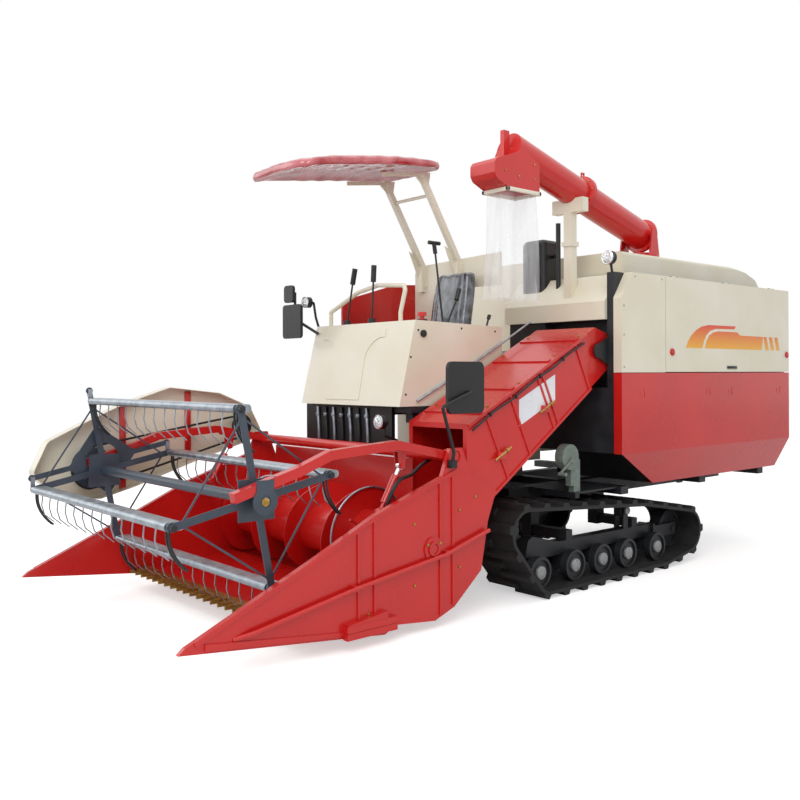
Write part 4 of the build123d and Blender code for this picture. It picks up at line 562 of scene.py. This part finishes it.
# operator station: console screws, round knob, warning lamp's base, hoses under the console
CONSOLE_X = 0.4305
CONSOLE_SCREWS = ((-0.78, 1.58), (-0.42, 1.60), (-0.12, 1.59), (-0.84, 1.42), (-0.88, 1.20), (-0.14, 1.20))
bolts(
    "console_screws",
    [(CONSOLE_X, y, z) for y, z in CONSOLE_SCREWS],
    LEFT,
    0.007,
    DARK,
    "machine",
)
disc("side_knob", (0.436, -0.742, 1.560), LEFT, 0.022, 0.016, BLACK, "machine", 32, 0.005)
disc("beacon_base", (0.365, -0.690, 1.640), (0, 0, 1), 0.034, 0.018, BLACK, "machine", 32, 0.004)
HOSE_PITCH = 0.085
for k in range(7):
    x = -0.46 + HOSE_PITCH * k
    tube(
        "console_hose_%d" % k,
        [(x, -0.868, 1.11), (x + 0.004, -0.872, 1.05), (x + 0.02, -0.872, 0.98), (x + 0.012, -0.868, 0.90)],
        0.010,
        BLACK if k % 2 else ZINC,
        "machine",
    )
    disc("hose_collar_%d" % k, (x + 0.003, -0.872, 1.06), (0.1, 0, 1), 0.014, 0.022, ZINC, "machine", 6, 0.002)

# lamps: bezel and lens
for name, place, radius, body in (
    ("hood_lamp", (0.900, 0.427, 2.062), 0.040, "machine"),
    ("mirror_lamp", (-0.560, -0.901, 1.800), 0.033, "machine"),
    ("front_lamp", (0.350, -1.023, 1.042), 0.037, "header"),
):
    bpy.ops.mesh.primitive_uv_sphere_add(segments=32, ring_count=16, radius=radius, location=place)
    dome = bpy.context.object
    dome.scale = (1, 0.28, 1)
    settle(dome, name + "_lens", LENS, body)
    bpy.ops.mesh.primitive_torus_add(
        major_radius=radius,
        minor_radius=0.005,
        major_segments=40,
        minor_segments=10,
        location=place,
        rotation=(math.pi / 2, 0, 0),
    )
    settle(bpy.context.object, name + "_bezel", CHROME, body)

# mirror glass
block("mirror_glass_left", (0.9838, -1.075, 1.125), (0.9855, -0.838, 1.370), MIRROR, "header", 0.0006)
block("mirror_glass_lower", (-0.715, -0.9455, 1.575), (-0.535, -0.9437, 1.770), MIRROR, "machine", 0.0006)
block("mirror_glass_upper", (-0.705, -0.9455, 1.812), (-0.620, -0.9437, 1.903), MIRROR, "machine", 0.0006)

# unloading tube: flange rings and their bolts, end hub, mouth frame
SLOPE = math.radians(16)
PIVOT = Vector((0.640, 1.160, 2.310))
ALONG = Vector((0, -math.cos(SLOPE), math.sin(SLOPE)))
ACROSS = Vector((0, math.sin(SLOPE), math.cos(SLOPE)))


def round_tube(s, radius, count, start=0.0):
    """Places in a ring around the tube, `s` metres from its pivot."""
    centre = PIVOT + ALONG * s
    places = []
    for k in range(count):
        a = start + 2 * math.pi * k / count
        places.append(centre + Vector(LEFT) * radius * math.cos(a) + ACROSS * radius * math.sin(a))
    return places


for name, s_low, s_high in (("flange_front", 0.700, 0.722), ("flange_rear", 0.690, 0.699)):
    middle = PIVOT + ALONG * (s_low + s_high) / 2
    disc(name, middle, ALONG, 0.130, s_high - s_low, RED, "unloader_tube", 64, 0.003)
disc("end_flange", PIVOT - ALONG * 0.030, ALONG, 0.125, 0.020, RED, "unloader_tube", 64, 0.003)
bolts("flange_bolts_front", round_tube(0.724, 0.113, 10, 0.2), ALONG, 0.007, BRASS, "unloader_tube")
bolts("flange_bolts_back", round_tube(0.688, 0.113, 10, 0.2), -ALONG, 0.007, BRASS, "unloader_tube")
bolts("end_bolts", round_tube(-0.043, 0.107, 10), ALONG, 0.006, BRASS, "unloader_tube")
disc("rear_end_hub", PIVOT - ALONG * 0.062, ALONG, 0.045, 0.03, RED, "unloader_tube", 36, 0.006)
TUBE_LENGTH = 1.430
MOUTH_DROP = 0.264
tip = PIVOT + ALONG * TUBE_LENGTH
mouth_z = tip.z - MOUTH_DROP
for name, low, high in (
    ("mouth_frame_front", (0.532, tip.y - 0.128, mouth_z - 0.022), (0.748, tip.y - 0.108, mouth_z)),
    ("mouth_frame_rear", (0.532, tip.y + 0.160, mouth_z - 0.022), (0.748, tip.y + 0.178, mouth_z)),
    ("mouth_frame_left", (0.728, tip.y - 0.128, mouth_z - 0.022), (0.748, tip.y + 0.178, mouth_z)),
    ("mouth_frame_right", (0.532, tip.y - 0.128, mouth_z - 0.022), (0.552, tip.y + 0.178, mouth_z)),
):
    block(name, low, high, CREAM, "unloader_tube", 0.002)
SPOUT_BOLTS = ((0.12, 0.10), (0.12, 0.19), (-0.02, 0.19), (-0.14, 0.17))
spout_places = [(0.742, tip.y + dy, tip.z - dz) for dy, dz in SPOUT_BOLTS]
bolts("spout_bolts", spout_places, LEFT, 0.007, BRASS, "unloader_tube")

# clear sleeve below the mouth, with gathers that grow towards its hem
SLEEVE_LENGTH = 0.66
SLEEVE_FLARE = 0.42
SLEEVE_FIT = 0.93
SLEEVE_RINGS = 12
sleeve_low = (0.545, tip.y - 0.12)
sleeve_high = (0.735, tip.y + 0.165)
bpy.ops.mesh.primitive_cylinder_add(vertices=72, radius=1, depth=1, end_fill_type="NOTHING")
sleeve = bpy.context.object
only(sleeve)
bpy.ops.object.mode_set(mode="EDIT")
for level in range(1, SLEEVE_RINGS):
    bpy.ops.mesh.select_all(action="SELECT")
    bpy.ops.mesh.bisect(plane_co=(0, 0, -0.5 + level / SLEEVE_RINGS), plane_no=(0, 0, 1))
bpy.ops.object.mode_set(mode="OBJECT")
mid = Vector(((sleeve_low[0] + sleeve_high[0]) / 2, (sleeve_low[1] + sleeve_high[1]) / 2))
half = Vector(((sleeve_high[0] - sleeve_low[0]) / 2, (sleeve_high[1] - sleeve_low[1]) / 2))
for vertex in sleeve.data.vertices:
    a = math.atan2(vertex.co.y, vertex.co.x)
    t = 0.5 - vertex.co.z
    c, s = math.cos(a), math.sin(a)
    # almost square at the mouth, rounder towards the hem
    square = 1 / max(abs(c), abs(s)) ** (1 - 0.75 * t)
    flare = 1 + SLEEVE_FLARE * t
    fold = 0.012 * t * math.sin(9 * a + 2.5 * t) + 0.006 * t * math.sin(17 * a)
    vertex.co = (
        mid.x + c * (half.x * square * flare * SLEEVE_FIT + fold),
        mid.y + s * (half.y * square * flare * SLEEVE_FIT + fold),
        mouth_z - 0.01 - SLEEVE_LENGTH * t,
    )
only(sleeve)
bpy.ops.object.modifier_add(type="SUBSURF")
sleeve.modifiers[-1].levels = 1
sleeve.modifiers[-1].render_levels = 1
bpy.ops.object.modifier_apply(modifier=sleeve.modifiers[-1].name)
settle(sleeve, "clear_sleeve", FILM, "unloader_tube", 80)

# canopy: one crowned shell with a rim, creased under its film
CANOPY_WIDTH, CANOPY_LENGTH, CANOPY_THICK = 0.620, 1.150, 0.056
CANOPY_FRONT_Z, CANOPY_RISE = 2.500, 0.150
CORNER_POWER = 7
# creases of the film: height in metres, then waves per metre across and along, in radians
CREASES = ((0.0016, 23, 9), (0.0012, -17, 41), (0.0009, 67, 50))
bpy.ops.mesh.primitive_cube_add(size=1, location=(0, 0, 0))
roof = bpy.context.object
roof.scale = (CANOPY_WIDTH, CANOPY_LENGTH, CANOPY_THICK)
only(roof)
bpy.ops.object.transform_apply(location=False, rotation=False, scale=True)
bpy.ops.object.modifier_add(type="BEVEL")
roof.modifiers[-1].width = 0.022
roof.modifiers[-1].segments = 3
bpy.ops.object.modifier_apply(modifier=roof.modifiers[-1].name)
remeshed(roof, 0.012)
for vertex in roof.data.vertices:
    x, y, z = vertex.co
    u = 2 * x / CANOPY_WIDTH
    v = 2 * y / CANOPY_LENGTH
    corner = (abs(u) ** CORNER_POWER + abs(v) ** CORNER_POWER) ** (1 / CORNER_POWER)
    if corner > 0:
        x *= max(abs(u), abs(v)) / corner
        y *= max(abs(u), abs(v)) / corner
    inside = max(0.0, 1 - max(abs(u), abs(v)) ** 8)
    crown = 0.035 * (1 - u * u) * (1 - v**4) + 0.02 * (1 - v * v)
    lift = crown if z > 0 else 0.6 * crown + 0.028 * inside
    fold = sum(height * math.sin(across * x + along * y) for height, across, along in CREASES)
    slope = CANOPY_FRONT_Z + CANOPY_RISE * (v + 1) / 2
    vertex.co = (x - 0.150, y - 0.845, slope + z + CANOPY_THICK / 2 + lift + fold)
settle(roof, "wrapped_canopy", ROOF_AND_PAINTED_HIGHLIGHT, "machine", 70)
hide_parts("canopy")


def cushion(name, low, high, lean, crown, material):
    """A closed cushion whose remeshed points are moved to a crown, two sewn channels and creases."""
    low, high = Vector(low), Vector(high)
    bpy.ops.mesh.primitive_cube_add(size=1, location=(0, 0, 0))
    pad = bpy.context.object
    pad.scale = high - low
    only(pad)
    bpy.ops.object.transform_apply(location=False, rotation=False, scale=True)
    bevelled(pad, 0.03, 3)
    remeshed(pad, 0.008)
    size = high - low
    for vertex in pad.data.vertices:
        x, y, z = vertex.co
        u, v, w = 2 * x / size.x, 2 * y / size.y, 2 * z / size.z
        channel = 0.006 * math.exp(-(((abs(u) - 0.62) / 0.06) ** 2))
        if lean == 0:
            z += crown * (1 - u * u) * (1 - v * v) * (1 if z > 0 else 0)
            z -= channel * (1 if z > 0 else 0)
        else:
            y -= crown * (1 - u * u) * (1 - w * w) * (1 if y < 0 else -0.3)
            y += channel * (1 if y < 0 else 0)
            x *= 1 - 0.12 * max(0, w) ** 2
            y += lean * (z + size.z / 2)
        wrinkle = 0.0022 * math.sin(70 * x + 40 * z) * math.sin(55 * y - 60 * z)
        wrinkle += 0.0016 * math.sin(130 * z + 60 * x)
        vertex.co = Vector((x, y, z + wrinkle)) + (low + high) / 2
    settle(pad, name, material, "machine", 80)
    return pad


seat_pad = cushion("seat_pad", (-0.070, -0.535, 1.485), (0.280, -0.100, 1.570), 0, 0.018, SEAT_VINYL_AND_PAINTED_HIGHLIGHT)
seat_back = cushion("seat_back_pad", (-0.060, -0.258, 1.565), (0.270, -0.168, 1.985), 0.175, 0.016, SEAT_VINYL_AND_PAINTED_HIGHLIGHT)
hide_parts("seat_cushion")

# camera at the photograph's viewpoint
VIEW_AZIMUTH = 49.112
VIEW_PITCH = 0.239
VIEW_ROLL = -0.202
VIEW_PLACE = (4.33, -4.30, 1.32)
FOCAL_PX = 890.08
CENTRE_V = 370.35
FRAME_PX = 800
SENSOR_MM = 36.0
az, pitch, roll = (math.radians(a) for a in (VIEW_AZIMUTH, VIEW_PITCH, VIEW_ROLL))
ahead = Vector((-math.sin(az) * math.cos(pitch), math.cos(az) * math.cos(pitch), math.sin(pitch)))
right = Vector((math.cos(az), math.sin(az), 0))
up = right.cross(ahead)
cam_right = right * math.cos(roll) + up * math.sin(roll)
cam_up = up * math.cos(roll) - right * math.sin(roll)
bpy.ops.object.camera_add(location=VIEW_PLACE)
camera = bpy.context.object
camera.matrix_world = Matrix.Translation(VIEW_PLACE) @ Matrix(
    ((cam_right.x, cam_up.x, -ahead.x), (cam_right.y, cam_up.y, -ahead.y), (cam_right.z, cam_up.z, -ahead.z))
).to_4x4()
camera.data.sensor_width = SENSOR_MM
camera.data.lens = FOCAL_PX / FRAME_PX * SENSOR_MM
camera.data.shift_y = -(FRAME_PX / 2 - CENTRE_V) / FRAME_PX
camera.data.clip_end = 100
bpy.context.scene.camera = camera

# floor that keeps a soft shadow, and a white surround
bpy.ops.mesh.primitive_plane_add(size=60, location=(0, 0, 0))
floor = bpy.context.object
floor.name = "pale_floor"
FLOOR = new_material("pale floor", "F2F2F2", 0.0, 0.9)
floor_path = add_node(FLOOR, "ShaderNodeLightPath")
floor_glow = add_node(
    FLOOR, "ShaderNodeMath", {1: 0.5}, {0: floor_path.outputs["Is Camera Ray"]}, operation="MULTIPLY"
)
floor_shader = FLOOR.node_tree.nodes["Principled BSDF"]
floor_shader.inputs["Emission Color"].default_value = (1, 1, 1, 1)
FLOOR.node_tree.links.new(floor_glow.outputs["Value"], floor_shader.inputs["Emission Strength"])
floor.data.materials.append(FLOOR)
for name, place, size, power in (
    ("key", (6, -7, 7), 6, 420),
    ("fill", (-7, -6, 5), 6, 130),
    ("top", (0, 0, 8), 8, 150),
):
    bpy.ops.object.light_add(type="AREA", location=place)
    lamp = bpy.context.object
    lamp.name = name
    lamp.data.size = size
    lamp.data.energy = power
    lamp.rotation_euler = (Vector((0, 0, 1)) - Vector(place)).to_track_quat("-Z", "Y").to_euler()
world = bpy.context.scene.world or bpy.data.worlds.new("World")
bpy.context.scene.world = world
world.use_nodes = True
surround = world.node_tree.nodes["Background"]
surround.inputs["Color"].default_value = (1, 1, 1, 1)
ray = add_node(world, "ShaderNodeLightPath")
gloss = add_node(
    world,
    "ShaderNodeMath",
    (),
    {0: ray.outputs["Is Camera Ray"], 1: ray.outputs["Is Glossy Ray"]},
    operation="MAXIMUM",
)
plain = add_node(
    world,
    "ShaderNodeMath",
    (),
    {0: gloss.outputs["Value"], 1: ray.outputs["Is Transmission Ray"]},
    operation="MAXIMUM",
)
brightness = add_node(
    world, "ShaderNodeMapRange", {"To Min": 0.55, "To Max": 1.0}, {"Value": plain.outputs["Value"]}
)
world.node_tree.links.new(brightness.outputs["Result"], surround.inputs["Strength"])
bpy.context.scene.view_settings.view_transform = "Standard"
